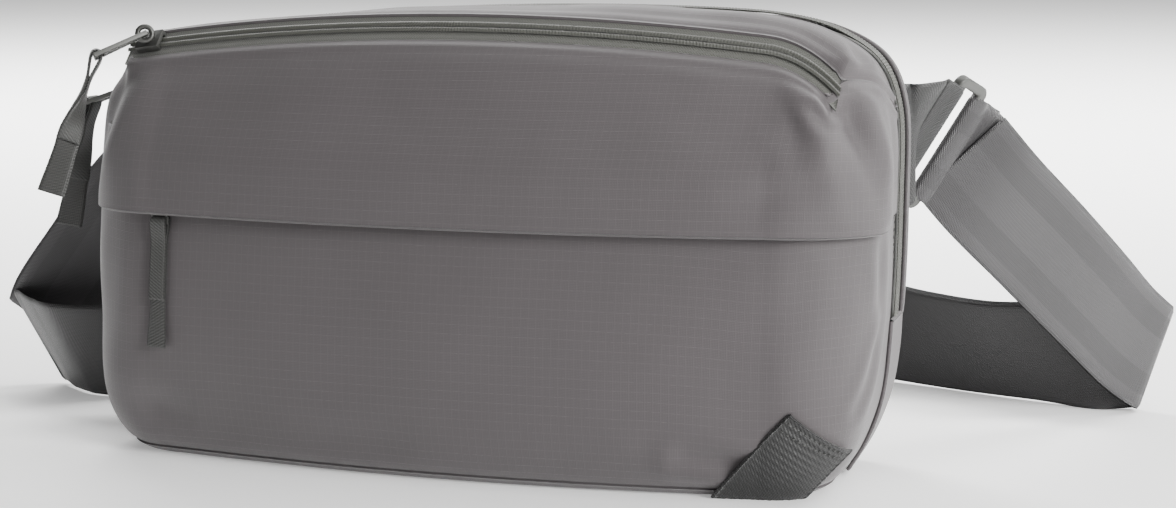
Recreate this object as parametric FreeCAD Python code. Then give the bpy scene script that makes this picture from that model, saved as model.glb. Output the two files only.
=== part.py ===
"""Camera sling bag, closed, standing on a flat surface with its shoulder strap lying behind it.

Millimetres.  +X is the bag's right as its front is looked at, +Y the back panel, +Z up.  The
origin is the middle of the base, on the surface the bag stands on.

The body is one soft box shape, given by horizontal sections.  Skins, tapes and coils are thin
layers of that shape, cut into panels.  The front face is round about one vertical axis, so the
pocket slider can follow its zip, and the top pocket zip is an arc about a tilted axis.
"""

import FreeCAD
import Part
import math
import os

V = FreeCAD.Vector

# ---- Driving dimensions -----------------------------------------------------------------------
BODY_W = 334.0            # width over the sides
BODY_H = 186.0            # height to the crown
BODY_D = 112.0            # depth at the fullest point
FRONT_BULGE_R = 725.0     # plan radius of the front face
SKIN_T = 2.4              # fabric laminated to thin foam
SEAM = 0.3                # gap left between pieces that move apart

WEB_W = 50.0              # strap webbing
WEB_T = 1.6
WEB_AIR = 0.35            # air between two layers of webbing, and round a bar

HINGE_Z = 64.0            # the back panel folds here, at the lower ends of the main zip
MAIN_ZIP_Y = 27.0         # plane of the main zip
MAIN_TAPE_HALF = 11.0     # half of the tape that shows
TAPE_T = 1.2
TAPE_SINK = 0.6           # tape's face below the skin's face
TAPE_AIR = 0.2            # between the two halves of a closed zip
COIL_HALF = 3.0           # half width of a closed coil
COIL_RISE = 1.3           # coil above the skin's face

SLIDER_AIR = 0.5          # air round a coil inside its slider
SLIDER_L = 11.0
SLIDER_PLATE = 1.6
SLIDER_WALL = 1.4
BAIL_R = 3.0              # middle of the bail's wire
BAIL_WIRE_R = 1.1
BAIL_SINK = 0.4           # the wire is swaged into the slider's plate
FRAME_L = 22.0            # moulded pull, from its pin to its end
FRAME_NARROW = 6.4
FRAME_CHEEK = 2.15        # of the pull, beside the webbing at its wide end
FRAME_SIDE = 1.1          # thinnest side of the pull, beside its pin
FRAME_T = 2.0
FRAME_BAR = 2.0
TAB_W = 10.0              # folded webbing of the zip pulls
TAB_T = 2.6
TAB_LOOP_T = 1.2          # webbing round the pull's bar
TAB_LOOP_AIR = 0.136      # inside that loop, round the corners of the pull's square bar
TAB_FLARE = 1.0           # the tab's end is this much wider each side

PAD_T = 8.0               # foam of the camera compartment
PAD_AIR = 0.4
PARTITION_Y = 32.0        # front of the partition, behind the front of the bag
BASE_T = 2.0              # stiff base board
DIVIDER_T = 6.0
DIVIDER_X = 48.0
DIVIDER_DROP = 9.2        # dividers' top below the padded walls'
WALL_DROP = 26.0          # top of the padded walls below the crown
PAD_SIDE_IN = 24.0        # padded side walls inside the bag's sides
BACK_PAD_GAP = 1.0        # back pad in front of the back panel
LINER_Y = 16.0            # pocket liner behind the front of the bag
LINER_T = 1.0

FLAP_Z = 104.0            # hem of the storm flap
FLAP_H = 21.0
FLAP_T = 1.4
FLAP_STAND = 4.6          # flap's inner face outside the front face
FLAP_IN = 29.0            # flap's ends inside the bag's sides
WELT_H = 3.0              # sewn fold that the flap hangs from
POCKET_ZIP_RISE = 8.0     # pocket zip above the flap's hem
POCKET_ZIP_IN = 35.0      # pocket zip's ends inside the bag's sides
POCKET_TAPE_HALF = 5.5
POCKET_COIL_HALF = 2.4
POCKET_COIL_H = 1.4
POCKET_SLIDER_IN = 8.0    # slider inside the zip's left end
POCKET_PLATE = 1.2
POCKET_PULL_L = 8.0
POCKET_PULL_T = 1.0
POCKET_PULL_W = 8.0
POCKET_TAB_L = 52.0
POCKET_TAB_W = 9.0
POCKET_LOOP_W = 5.0       # the tab is folded narrower where it goes through the pull
POCKET_LOOP_T = 0.7
POCKET_LOOP_R = 1.3       # inside of its loop
POCKET_TAB_LEAN = 6.0     # degrees out from the front face

TOP_ZIP_BACK = 29.0       # middle of the top pocket zip, behind the front of the bag
TOP_ZIP_DROP = 5.5        # and below the crown
TOP_ZIP_TILT = 45.0       # degrees that its tape leans back from facing up
TOP_ZIP_R = 739.0
TOP_ZIP_IN = 19.0         # its ends inside the bag's sides
TOP_TAPE_HALF = 7.0
TOP_COIL_HALF = 2.6
TOP_COIL_H = 1.7
TOP_SLIDER_IN = 8.0       # slider inside the zip's left end
TOP_TAB_L = 60.0

MAIN_SLIDER_DROP = 36.0   # slider below the crown
MAIN_TAB_L = 58.0

LOOP_W = 25.0             # webbing loop on the lower front corner
LOOP_T = 1.8
LOOP_AIR = 0.2
LOOP_IN = 30.0            # its middle inside the bag's side
LOOP_Z = 17.0             # and above the floor
LOOP_TOP = 15.0           # its sewn end above that middle, along it
LOOP_LEAN = 42.0          # degrees

RING_BAR = 5.0
RING_T = 4.6
RING_SLOT = 11.0          # between the two bars
RING_END = 4.5
RING_OUT = 7.0            # ring's centre outside the bag's side
RING_BACK = 24.0          # and behind its back face
RING_DROP = 56.0          # and below the crown
WING_DROP = 54.0          # middle of the wing's root below the crown
WING_SIDE = 1.5           # wing's root outside the bag's side
WING_BULGE_X = 1.5        # the wing bows out and back on its way to the ring
WING_BULGE_Y = 6.0
LOOP_TAIL = 6.0           # doubled webbing beside a ring's bar
LOOP_NARROW = 1.0         # webbing is this much narrower where it is wrapped round a bar
RETURN_STATIONS = 8       # stations of the floor run that the strap's free end follows
FOLD_R = 2.2              # half thickness of the strap where it is folded flat
FLOOR_AIR = 0.4           # strap's lower edge above the floor
ADJUSTER_LIFT = 3.0       # the adjuster holds the strap this much higher

ADJUSTER_L = 20.0
ADJUSTER_WALL = 2.2
ADJUSTER_AIR = 0.5

# the strap's route is laid out for a bag with its side, back and rings here, and moves with them
ROUTE_SIDE_X = 167.0
ROUTE_BACK_Y = 56.0
ROUTE_RING_Z = 130.0

BASE_H = 14.0             # the base panel turns up the walls this far
SIDE_SEAM_IN = 41.0       # seams of the side panels inside the bag's sides
SIDE_SEAM_BACK = 33.0     # and behind its front
SLOT_DEPTH = 9.0          # cutters for the zips reach this far in and out of the skin
WING_ROOT_IN = 6.0        # wing's root in front of the bag's back

BIG = 600.0               # longer than anything here
CRUMB = 0.5               # a solid smaller than this is left over from a cut
FRONT_Y = -BODY_D / 2
BACK_Y = BODY_D / 2
SIDE_X = BODY_W / 2
FRONT_AXIS_Y = FRONT_Y + FRONT_BULGE_R
FLAP_HALF = SIDE_X - FLAP_IN
POCKET_ZIP_HALF = SIDE_X - POCKET_ZIP_IN      # half of the chord of each zip's arc
TOP_ZIP_HALF = SIDE_X - TOP_ZIP_IN
FRAME_WIDE = TAB_W + 2 * (WEB_AIR + FRAME_CHEEK)
TAB_LOOP_R = math.hypot(FRAME_BAR, FRAME_T) / 2 + TAB_LOOP_AIR

PARTS = {}


def add(name, *shapes):
    """Registers a node made of one or more solids."""
    solids = [s for shape in shapes for s in shape.Solids if s.Volume > CRUMB]
    PARTS[name] = solids[0] if len(solids) == 1 else Part.makeCompound(solids)


# ---- The body's shape -------------------------------------------------------------------------
# height share, side inset, front inset, back inset, front corner radius, back corner radius
SECTIONS = [
    (0.000, 24.0, 15.5, 17.0, 22.0, 14.0),
    (0.043, 14.0, 7.5, 9.0, 28.0, 16.0),
    (0.161, 5.0, 1.5, 3.0, 34.0, 16.0),
    (0.323, 1.5, 0.0, 1.0, 38.0, 16.0),
    (0.591, 0.0, 3.5, 0.0, 40.0, 16.0),
    (0.806, 1.0, 9.5, 1.0, 38.0, 16.0),
    (0.914, 8.0, 17.5, 5.0, 32.0, 14.0),
    (0.973, 24.0, 26.5, 13.0, 24.0, 12.0),
    (1.000, 47.0, 39.5, 25.0, 12.0, 9.0),
]


def arc(a, b, c):
    return Part.Arc(a, b, c).toShape()


def line(a, b):
    return Part.LineSegment(a, b).toShape()


def section(share, side, front, back, r_front, r_back, inset):
    """One closed horizontal outline of the body, drawn inset from its surface."""
    half = SIDE_X - side - inset
    z = inset + share * (BODY_H - 2 * inset)
    radius = FRONT_BULGE_R - front - inset
    yb = BACK_Y - back - inset
    rf, rb = r_front - inset / 2, r_back - inset / 2
    x_front, x_back = half - rf, half - rb
    y_front = FRONT_AXIS_Y - math.sqrt(radius ** 2 - x_front ** 2)
    k, m = math.sqrt(0.5), 1 - math.sqrt(0.5)
    mid = V(0, FRONT_AXIS_Y - radius, z)
    right = [
        V(x_front, y_front, z),
        V(x_front + rf * k, y_front + rf * m, z),
        V(half, y_front + rf, z),
        V(half, yb - rb, z),
        V(x_back + rb * k, yb - rb * m, z),
        V(x_back, yb, z),
    ]
    left = [V(-p.x, p.y, p.z) for p in right]
    edges = [
        arc(left[0], mid, right[0]),
        arc(right[0], right[1], right[2]),
        line(right[2], right[3]),
        arc(right[3], right[4], right[5]),
        line(right[5], left[5]),
        arc(left[5], left[4], left[3]),
        line(left[3], left[2]),
        arc(left[2], left[1], left[0]),
    ]
    return Part.Wire(edges)


ENVELOPES = {}


def envelope(inset):
    """The body's solid shape, inset from its surface (outset if negative)."""
    key = round(inset, 4)
    if key not in ENVELOPES:
        wires = [section(*row, inset) for row in SECTIONS]
        ENVELOPES[key] = Part.makeLoft(wires, True, False)
    return ENVELOPES[key]


def layer(outer, inner):
    """The layer of the body between two insets."""
    return envelope(outer).cut(envelope(inner))


def box(x0, x1, y0, y1, z0, z1):
    return Part.makeBox(x1 - x0, y1 - y0, z1 - z0, V(x0, y0, z0))


def slab(axis, low, high):
    """Everything between two planes across an axis, 0, 1 or 2."""
    lows, highs = [-BIG] * 3, [BIG] * 3
    lows[axis], highs[axis] = low, high
    return box(lows[0], highs[0], lows[1], highs[1], lows[2], highs[2])


def half_space(point, normal):
    """A big block on the side of a plane that normal points to."""
    block = Part.makeBox(2 * BIG, 2 * BIG, BIG, V(-BIG, -BIG, 0))
    block.Placement = FreeCAD.Placement(point, FreeCAD.Rotation(V(0, 0, 1), normal))
    return block


def unit(x, y, z):
    vector = V(x, y, z)
    vector.normalize()
    return vector


def square_to(vector, run):
    """A vector turned to stand square to a direction."""
    vector = vector - run * vector.dot(run)
    vector.normalize()
    return vector


def place(shape, origin, along, out):
    """Moves a shape drawn with +X along something and +Z out of it to its place."""
    across = out.cross(along)
    matrix = FreeCAD.Matrix(
        along.x, across.x, out.x, origin.x,
        along.y, across.y, out.y, origin.y,
        along.z, across.z, out.z, origin.z,
        0, 0, 0, 1)
    moved = shape.copy()
    moved.Placement = FreeCAD.Placement(matrix).multiply(moved.Placement)
    return moved


def ribbon(stations, width, thick, shift=0.0):
    """A flat band through stations, shifted off its face.

    A station is a point, the direction of the band's upper edge there and, where the band has to
    meet something square, its direction of travel.
    """
    wires = []
    last = len(stations) - 1
    for i, (point, up, *fixed_run) in enumerate(stations):
        run = stations[min(last, i + 1)][0] - stations[max(0, i - 1)][0]
        if fixed_run:
            run = V(fixed_run[0])
        run.normalize()
        up = square_to(up, run)
        face = run.cross(up)
        point = point + face * shift
        a, b = up * (width / 2), face * (thick / 2)
        corners = [point + a + b, point + a - b, point - a - b, point - a + b]
        wires.append(Part.makePolygon(corners + corners[:1]))
    loft = Part.makeLoft(wires, True, True)
    if loft.Volume < 0:
        loft.reverse()
    return loft


# ---- Bands that follow a zip ------------------------------------------------------------------
def band(centre, axis, towards, radius, thick, low, high, half_chord):
    """A strip of a cylinder: from radius to radius + thick, from low to high along axis."""
    angle = math.asin(half_chord / radius)
    side = towards.cross(axis)

    def at(r, turn):
        return centre + axis * low + towards * (r * math.cos(turn)) + side * (r * math.sin(turn))

    outer = radius + thick
    outline = [
        arc(at(radius, -angle), at(radius, 0), at(radius, angle)),
        line(at(radius, angle), at(outer, angle)),
        arc(at(outer, angle), at(outer, 0), at(outer, -angle)),
        line(at(outer, -angle), at(radius, -angle)),
    ]
    return Part.Face(Part.Wire(outline)).extrude(axis * (high - low))


UP = V(0, 0, 1)
FORWARD = V(0, -1, 0)
RIGHT = V(1, 0, 0)
TILT = math.radians(TOP_ZIP_TILT)
TOP_MID = V(0, FRONT_Y + TOP_ZIP_BACK, BODY_H - TOP_ZIP_DROP)
TOP_OUT = V(0, -math.sin(TILT), math.cos(TILT))        # out of the top zip's tape
TOP_ACROSS = V(0, math.cos(TILT), math.sin(TILT))      # across it, its slider's turning axis
TOP_CENTRE = TOP_MID - TOP_OUT * TOP_ZIP_R
POCKET_Z = FLAP_Z + POCKET_ZIP_RISE
POCKET_CENTRE = V(0, FRONT_AXIS_Y, 0)


def front_y(z):
    """Where the front face stands at a height, on the bag's middle plane."""
    return line(V(0, 0, z), V(0, -BIG, z)).common(envelope(0)).BoundBox.YMin


POCKET_R = FRONT_AXIS_Y - front_y(POCKET_Z)


def top_band(rise, thick, low, high, half_chord=TOP_ZIP_HALF):
    return band(TOP_CENTRE, TOP_ACROSS, TOP_OUT, TOP_ZIP_R + rise, thick, low, high, half_chord)


def pocket_band(rise, thick, low, high, half_chord=POCKET_ZIP_HALF):
    return band(POCKET_CENTRE, UP, FORWARD, POCKET_R + rise, thick,
                POCKET_Z + low, POCKET_Z + high, half_chord)


def on_arc(centre, towards, radius, x):
    """Point, direction along +X and outward direction on an arc, at a given x."""
    turn = math.asin(x / radius)
    out = RIGHT * math.sin(turn) + towards * math.cos(turn)
    along = RIGHT * math.cos(turn) - towards * math.sin(turn)
    return centre + out * radius, along, out


# ---- Skins ------------------------------------------------------------------------------------
SIDE_SEAM_X = SIDE_X - SIDE_SEAM_IN
SIDE_SEAM_Y = FRONT_Y + SIDE_SEAM_BACK
MAIN_FRONT_Y = MAIN_ZIP_Y - MAIN_TAPE_HALF
MAIN_REAR_Y = MAIN_ZIP_Y + MAIN_TAPE_HALF


def zip_slot(make_band, tape_half, half_chord):
    return make_band(-SLOT_DEPTH, 2 * SLOT_DEPTH, -tape_half, tape_half, half_chord + SEAM)


def make_skins():
    skin = layer(0, SKIN_T)
    slots = zip_slot(top_band, TOP_TAPE_HALF, TOP_ZIP_HALF)
    slots = slots.fuse(zip_slot(pocket_band, POCKET_TAPE_HALF, POCKET_ZIP_HALF))
    above_hinge = slab(2, HINGE_Z, BIG)
    fixed = skin.cut(slab(1, MAIN_FRONT_Y, BIG).common(above_hinge))
    fixed = fixed.cut(slab(2, HINGE_Z - SEAM, HINGE_Z).common(slab(1, MAIN_FRONT_Y, BIG)))

    add("base_panel", fixed.common(slab(2, -BIG, BASE_H)))
    walls = fixed.common(slab(2, BASE_H, BIG)).cut(slots)
    middle = slab(0, -SIDE_SEAM_X, SIDE_SEAM_X)
    rear_half = slab(1, SIDE_SEAM_Y, BIG)
    add("back_lower_panel", walls.common(middle).common(slab(1, 0, BIG)).common(
        slab(2, BASE_H, HINGE_Z)))
    sides = walls.cut(middle).common(rear_half)
    add("side_panel_left", sides.common(slab(0, -BIG, 0)))
    add("side_panel_right", sides.common(slab(0, 0, BIG)))
    front = walls.cut(sides).cut(slab(1, 0, BIG).common(slab(2, BASE_H, HINGE_Z)))
    above = half_space(TOP_MID, TOP_ACROSS).common(slab(2, BODY_H / 2, BIG))
    add("top_panel", front.common(above))
    face = front.cut(above)
    welt = layer(-FLAP_STAND - FLAP_T, 0).common(slab(0, -FLAP_HALF, FLAP_HALF))
    welt_z = FLAP_Z + FLAP_H + SEAM
    welt = welt.common(slab(1, -BIG, 0)).common(slab(2, welt_z, welt_z + WELT_H))
    upper = face.common(slab(2, POCKET_Z, BIG))
    add("front_upper_panel", upper.fuse(welt))
    add("front_pocket_panel", face.common(slab(2, 0, POCKET_Z)))
    add("back_panel_shell", skin.common(slab(1, MAIN_REAR_Y, BIG)).common(above_hinge))


def make_main_zip():
    above = slab(2, HINGE_Z, BIG)
    tape = layer(TAPE_SINK, TAPE_SINK + TAPE_T).common(above)
    coil = layer(-COIL_RISE, TAPE_SINK).common(above)
    front_edge, rear_edge = MAIN_ZIP_Y - TAPE_AIR, MAIN_ZIP_Y + TAPE_AIR
    add("main_zip_tape_front", tape.common(slab(1, MAIN_FRONT_Y, front_edge)))
    add("main_zip_tape_rear", tape.common(slab(1, rear_edge, MAIN_REAR_Y)))
    add("main_zip_coil_front", coil.common(slab(1, MAIN_ZIP_Y - COIL_HALF, front_edge)))
    add("main_zip_coil_rear", coil.common(slab(1, rear_edge, MAIN_ZIP_Y + COIL_HALF)))


def make_flat_zip(name, make_band, tape_half, coil_half, coil_h):
    """Tape and coil of a zip on an arc, each in two halves that meet in its middle."""
    def halves(half):
        return (-half, -TAPE_AIR), (TAPE_AIR, half)

    add(name + "_tape", *[make_band(-TAPE_T, TAPE_T, *h) for h in halves(tape_half)])
    add(name + "_coil", *[make_band(0, coil_h, *h) for h in halves(coil_half)])


# ---- Sliders and pulls ------------------------------------------------------------------------
# the way each pull and its tab lie, and the way the tabs' ends face
TOP_PULL_RUN = unit(-0.75, -0.50, -0.40)
TOP_PULL_AXIS = unit(-0.48, 0.86, -0.17)
TOP_TAB_RUN = unit(-0.20, -0.33, -0.92)
MAIN_PULL_RUN = unit(-0.94, 0, -0.34)
MAIN_TAB_RUN = unit(-0.24, 0, -0.97)
TAB_END_UP = unit(0.90, 0.43, 0)


def crown(coil_half, coil_h, plate):
    """A slider's channel over its coil.  +X along the zip, +Z out of it."""
    half = coil_half + SLIDER_AIR
    top = coil_h + SLIDER_AIR
    outer = half + SLIDER_WALL
    body = box(-SLIDER_L / 2, SLIDER_L / 2, -outer, outer, SLIDER_AIR, top + plate)
    return body.cut(box(-SLIDER_L, SLIDER_L, -half, half, -1, top)), top + plate


def bail_pin(at, out, top, axis):
    """Where a bail's wire ring about axis stands when it is sunk a little into its slider."""
    reach = BAIL_R * math.sqrt(1 - axis.dot(out) ** 2) + BAIL_WIRE_R
    return at + out * (top + reach - BAIL_SINK)


def pull_frame():
    """A moulded A-shaped pull with two windows.  Its pin is on the Y axis, it runs to +X."""
    start = -FRAME_BAR / 2
    end = FRAME_L + FRAME_BAR / 2
    n, w = FRAME_NARROW / 2, FRAME_WIDE / 2
    corners = [V(start, -n, 0), V(end, -w, 0), V(end, w, 0), V(start, n, 0), V(start, -n, 0)]
    frame = Part.Face(Part.makePolygon(corners)).extrude(V(0, 0, FRAME_T))
    frame.translate(V(0, 0, -FRAME_T / 2))
    slot_x = FRAME_L - TAB_LOOP_R - TAB_LOOP_T - WEB_AIR
    slot_half = TAB_W / 2 + WEB_AIR
    frame = frame.cut(box(slot_x, FRAME_L - FRAME_BAR / 2, -slot_half, slot_half,
                          -FRAME_T, FRAME_T))
    inner = n - FRAME_SIDE
    return frame.cut(box(FRAME_BAR / 2, slot_x - FRAME_BAR, -inner, inner, -FRAME_T, FRAME_T))


def tab(pivot, axis, run, end_up, length, width, loop_w, inner, loop_t):
    """Folded webbing: a loop round a bar at pivot, then a doubled tail that twists to end_up."""
    outer = inner + loop_t
    loop = Part.makeCylinder(outer, loop_w, pivot - axis * (loop_w / 2), axis)
    hole = Part.makeCylinder(inner, 2 * width, pivot - axis * width, axis)
    up = square_to(axis, run)
    twist = [(0.0, up), (0.2, up), (0.45, square_to(up + end_up, run)), (0.75, end_up), (1.0, end_up)]
    start = outer - loop_t / 2
    stations = [(pivot + run * (start + s * (length - start)), u) for s, u in twist]
    tail = ribbon(stations, width, TAB_T)
    flare = ribbon(stations[-2:], width + 2 * TAB_FLARE, TAB_T)
    return loop.fuse(tail).fuse(flare).cut(hole)


def make_pull(name, pin, run, axis, tab_run, tab_up, tab_l):
    """The moulded pull and its webbing tab, both turning about the same direction."""
    add(name + "_pull", place(pull_frame(), pin, run, run.cross(axis)))
    bar = pin + run * FRAME_L
    add(name + "_pull_tab", tab(bar, axis, tab_run, tab_up, tab_l, TAB_W, TAB_W,
                                 TAB_LOOP_R, TAB_LOOP_T))
    return bar


def make_top_slider():
    at, along, out = on_arc(TOP_CENTRE, TOP_OUT, TOP_ZIP_R, TOP_SLIDER_IN - TOP_ZIP_HALF)
    body, top = crown(TOP_COIL_HALF, TOP_COIL_H, SLIDER_PLATE)
    run = TOP_PULL_RUN
    axis = square_to(TOP_PULL_AXIS, run)
    tab_run = square_to(TOP_TAB_RUN, axis)
    pin = bail_pin(at, out, top, axis)
    wire = Part.makeTorus(BAIL_R, BAIL_WIRE_R, pin, axis)
    add("top_slider", place(body, at, along, out).fuse(wire))
    tab_up = square_to(TAB_END_UP, tab_run)
    bar = make_pull("top", pin, run, axis, tab_run, tab_up, TOP_TAB_L)
    return pin, bar, axis


def make_main_slider():
    at = V(-SIDE_X + TAPE_SINK, MAIN_ZIP_Y, BODY_H - MAIN_SLIDER_DROP)
    out = V(-1, 0, 0)
    body, top = crown(COIL_HALF, COIL_RISE + TAPE_SINK, SLIDER_PLATE)
    axis = V(0, 1, 0)
    pin = bail_pin(at, out, top, axis)
    wire = Part.makeTorus(BAIL_R, BAIL_WIRE_R, pin, axis)
    add("main_slider", place(body, at, V(0, 0, -1), out).fuse(wire))
    tab_up = square_to(TAB_END_UP, MAIN_TAB_RUN)
    bar = make_pull("main", pin, MAIN_PULL_RUN, axis, MAIN_TAB_RUN, tab_up, MAIN_TAB_L)
    return pin, bar


def make_pocket_slider():
    at, along, out = on_arc(POCKET_CENTRE, FORWARD, POCKET_R, POCKET_SLIDER_IN - POCKET_ZIP_HALF)
    at = at + UP * POCKET_Z
    body, top = crown(POCKET_COIL_HALF, POCKET_COIL_H, POCKET_PLATE)
    half = POCKET_COIL_HALF + SLIDER_AIR + SLIDER_WALL
    end = half + POCKET_PULL_L
    # the metal pull is swaged to the slider and turned down over the zip's tape
    half_w = POCKET_PULL_W / 2
    pull = box(-half_w, half_w, -end, half, top, top + POCKET_PULL_T)
    bar = end - FRAME_BAR / 2
    window = POCKET_LOOP_R + POCKET_LOOP_T + WEB_AIR
    window_w = POCKET_LOOP_W / 2 + WEB_AIR
    pull = pull.cut(box(-window_w, window_w, -bar + FRAME_BAR / 2, -bar + window, 0, BIG))
    add("pocket_slider", place(body.fuse(pull), at, along, out))
    pivot = at - UP * bar + out * (top + POCKET_PULL_T / 2)
    lean = math.radians(POCKET_TAB_LEAN)
    run = UP * -math.cos(lean) + out * math.sin(lean)
    add("pocket_pull_tab", tab(pivot, along, run, along, POCKET_TAB_L, POCKET_TAB_W,
                               POCKET_LOOP_W, POCKET_LOOP_R, POCKET_LOOP_T))
    return pivot, along


def make_flap():
    flap = layer(-FLAP_STAND - FLAP_T, -FLAP_STAND).common(slab(2, FLAP_Z, FLAP_Z + FLAP_H))
    flap = flap.common(slab(0, -FLAP_HALF, FLAP_HALF)).common(slab(1, -BIG, 0))
    add("pocket_flap", flap)
    top = FLAP_Z + FLAP_H
    return V(0, front_y(top) - FLAP_STAND - FLAP_T, top), RIGHT * -1


# ---- The padded compartment -------------------------------------------------------------------
def make_compartment():
    room = envelope(SKIN_T + PAD_AIR)
    back_pad_y = BACK_Y - SKIN_T - PAD_AIR - PAD_T - BACK_PAD_GAP
    floor_z = SKIN_T + PAD_AIR
    pad_x = SIDE_X - PAD_SIDE_IN
    partition_y = FRONT_Y + PARTITION_Y
    inside_y = partition_y + PAD_T
    rear_y = back_pad_y - PAD_AIR
    pad_z = floor_z + BASE_T
    wall_z = pad_z + PAD_T
    wall_top = BODY_H - WALL_DROP
    add("base_board", room.common(box(-pad_x, pad_x, partition_y, rear_y, floor_z, pad_z)))
    add("base_pad", room.common(box(-pad_x, pad_x, inside_y, rear_y, pad_z, wall_z)))
    add("partition_pad", room.common(box(-pad_x, pad_x, partition_y, inside_y, pad_z, wall_top)))
    for name, sign in (("left", -1), ("right", 1)):
        x0, x1 = sorted((sign * (pad_x - PAD_T), sign * pad_x))
        add("side_pad_" + name, room.common(box(x0, x1, inside_y, rear_y, wall_z, wall_top)))
        x = sign * DIVIDER_X
        add("divider_" + name, box(x - DIVIDER_T / 2, x + DIVIDER_T / 2, inside_y + PAD_AIR,
                                   rear_y - PAD_AIR, wall_z + PAD_AIR, wall_top - DIVIDER_DROP))
    rear = back_pad_y + PAD_T
    add("back_lower_pad", room.common(box(-pad_x, pad_x, back_pad_y, rear, pad_z,
                                          HINGE_Z - SEAM)))
    add("back_pad", room.common(box(-pad_x, pad_x, back_pad_y, rear, HINGE_Z + SEAM, wall_top)))
    liner_y = FRONT_Y + LINER_Y
    liner_top = POCKET_Z - POCKET_TAPE_HALF - LINER_T
    add("pocket_liner", room.common(box(-SIDE_SEAM_X, SIDE_SEAM_X, liner_y, liner_y + LINER_T,
                                        pad_z, liner_top)))


# ---- Webbing loop on the lower front corner ---------------------------------------------------
def make_accessory_loop():
    strip = box(-LOOP_W / 2, LOOP_W / 2, -BIG / 2, 0, -BIG, LOOP_TOP)
    strip.rotate(V(0, 0, 0), V(0, 1, 0), LOOP_LEAN)
    strip.translate(V(SIDE_X - LOOP_IN, 0, LOOP_Z))
    shell = layer(-LOOP_T - LOOP_AIR, -LOOP_AIR).common(slab(2, LOOP_AIR, BIG))
    add("accessory_loop", shell.common(strip))


# ---- Strap ------------------------------------------------------------------------------------
def mirror(vector):
    return V(-vector.x, vector.y, vector.z)


def routed(x, y, z):
    """A point of the strap's route, moved to suit this bag's side and back."""
    share = max(-1.0, min(1.0, x / ROUTE_SIDE_X))
    return V(x + (SIDE_X - ROUTE_SIDE_X) * share, y + BACK_Y - ROUTE_BACK_Y, z)


def on_floor(x, y, up, lift=0.0):
    """A station whose webbing stands on its lower edge, lifted off the floor a little."""
    half = WEB_W / 2 * up.z + WEB_T * math.sqrt(1 - up.z ** 2)
    return routed(x, y, half + FLOOR_AIR + lift), up


def hanging(x, y, z, up):
    """A station between a ring and the floor."""
    return routed(x, y, z * (BODY_H - RING_DROP) / ROUTE_RING_Z), up


RING_C = V(SIDE_X + RING_OUT, BACK_Y + RING_BACK, BODY_H - RING_DROP)
RING_UP = unit(0.50, 0.15, 0.85)
WING_ROOT = V(SIDE_X + WING_SIDE, BACK_Y - WING_ROOT_IN, BODY_H - WING_DROP)
RIGHT_FOLD = on_floor(259.5, 178.0, unit(0.28, 0.30, 0.91), FOLD_R / 2)
LEFT_FOLD = on_floor(-256.0, 80.0, unit(-0.45, -0.14, 0.88), FOLD_R / 2)
RIGHT_DROP = [
    hanging(195.0, 103.0, 106.0, unit(0.49, 0.15, 0.86)),
    hanging(214.0, 125.0, 82.0, unit(0.44, 0.15, 0.89)),
    hanging(234.0, 148.0, 56.0, unit(0.37, 0.19, 0.91)),
    hanging(249.0, 166.0, 36.0, unit(0.31, 0.25, 0.91)),
]
# standing on its lower edge, from the right fold round behind the bag to the left fold
FLOOR_RUN = [
    on_floor(240.0, 170.5, unit(0.18, 0.10, 0.97)),
    on_floor(216.0, 170.0, unit(0.06, -0.22, 0.97)),
    on_floor(191.0, 174.5, unit(0.0, -0.36, 0.93)),
    on_floor(160.0, 187.5, unit(0.0, -0.32, 0.94)),
    on_floor(132.0, 199.0, unit(0.0, -0.20, 0.98), 1.0),
    on_floor(102.0, 205.0, UP, ADJUSTER_LIFT),
    on_floor(-18.0, 205.0, UP, ADJUSTER_LIFT),
    on_floor(-60.0, 197.0, UP, 1.0),
    on_floor(-98.0, 177.0, UP),
    on_floor(-131.0, 147.0, UP),
    on_floor(-158.0, 112.0, unit(0.0, -0.05, 1.0)),
    on_floor(-182.0, 78.0, unit(-0.10, -0.22, 0.97)),
    on_floor(-203.0, 56.0, unit(-0.15, -0.40, 0.90)),
    on_floor(-224.0, 54.5, unit(-0.28, -0.34, 0.89)),
    on_floor(-241.0, 65.0, unit(-0.38, -0.22, 0.89)),
]
ADJUSTER_FROM, ADJUSTER_TO = FLOOR_RUN[5][0], FLOOR_RUN[6][0]
LEFT_RISE = [
    hanging(-246.0, 79.0, 38.0, unit(-0.46, -0.14, 0.87)),
    hanging(-227.0, 79.0, 63.0, unit(-0.48, -0.14, 0.86)),
    hanging(-207.0, 79.0, 89.0, unit(-0.50, -0.15, 0.85)),
]


def ring(centre, up, run):
    """A flat rectangular ring with a slot between two bars, and rounded ends."""
    half_l = WEB_W / 2 + WEB_AIR + RING_END
    half_w = RING_SLOT / 2 + RING_BAR
    plate = box(-half_w, half_w, -half_l, half_l, -RING_T / 2, RING_T / 2)
    upright = [e for e in plate.Edges if abs(e.tangentAt(e.FirstParameter).z) > 0.9]
    plate = plate.makeFillet(RING_END, upright)
    slot_l = WEB_W / 2 + WEB_AIR
    plate = plate.cut(box(-RING_SLOT / 2, RING_SLOT / 2, -slot_l, slot_l, -BIG, BIG))
    return place(plate, centre, run, up.cross(run))


def bar_loop():
    """Webbing wrapped round a ring's bar."""
    half = RING_T / 2 + WEB_AIR
    long_half = RING_BAR / 2 + WEB_AIR
    half_w = (WEB_W - LOOP_NARROW) / 2
    outer = box(-long_half - WEB_T, long_half + WEB_T, -half_w, half_w, -half - WEB_T, half + WEB_T)
    return outer.cut(box(-long_half, long_half, -BIG, BIG, -half, half))


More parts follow.
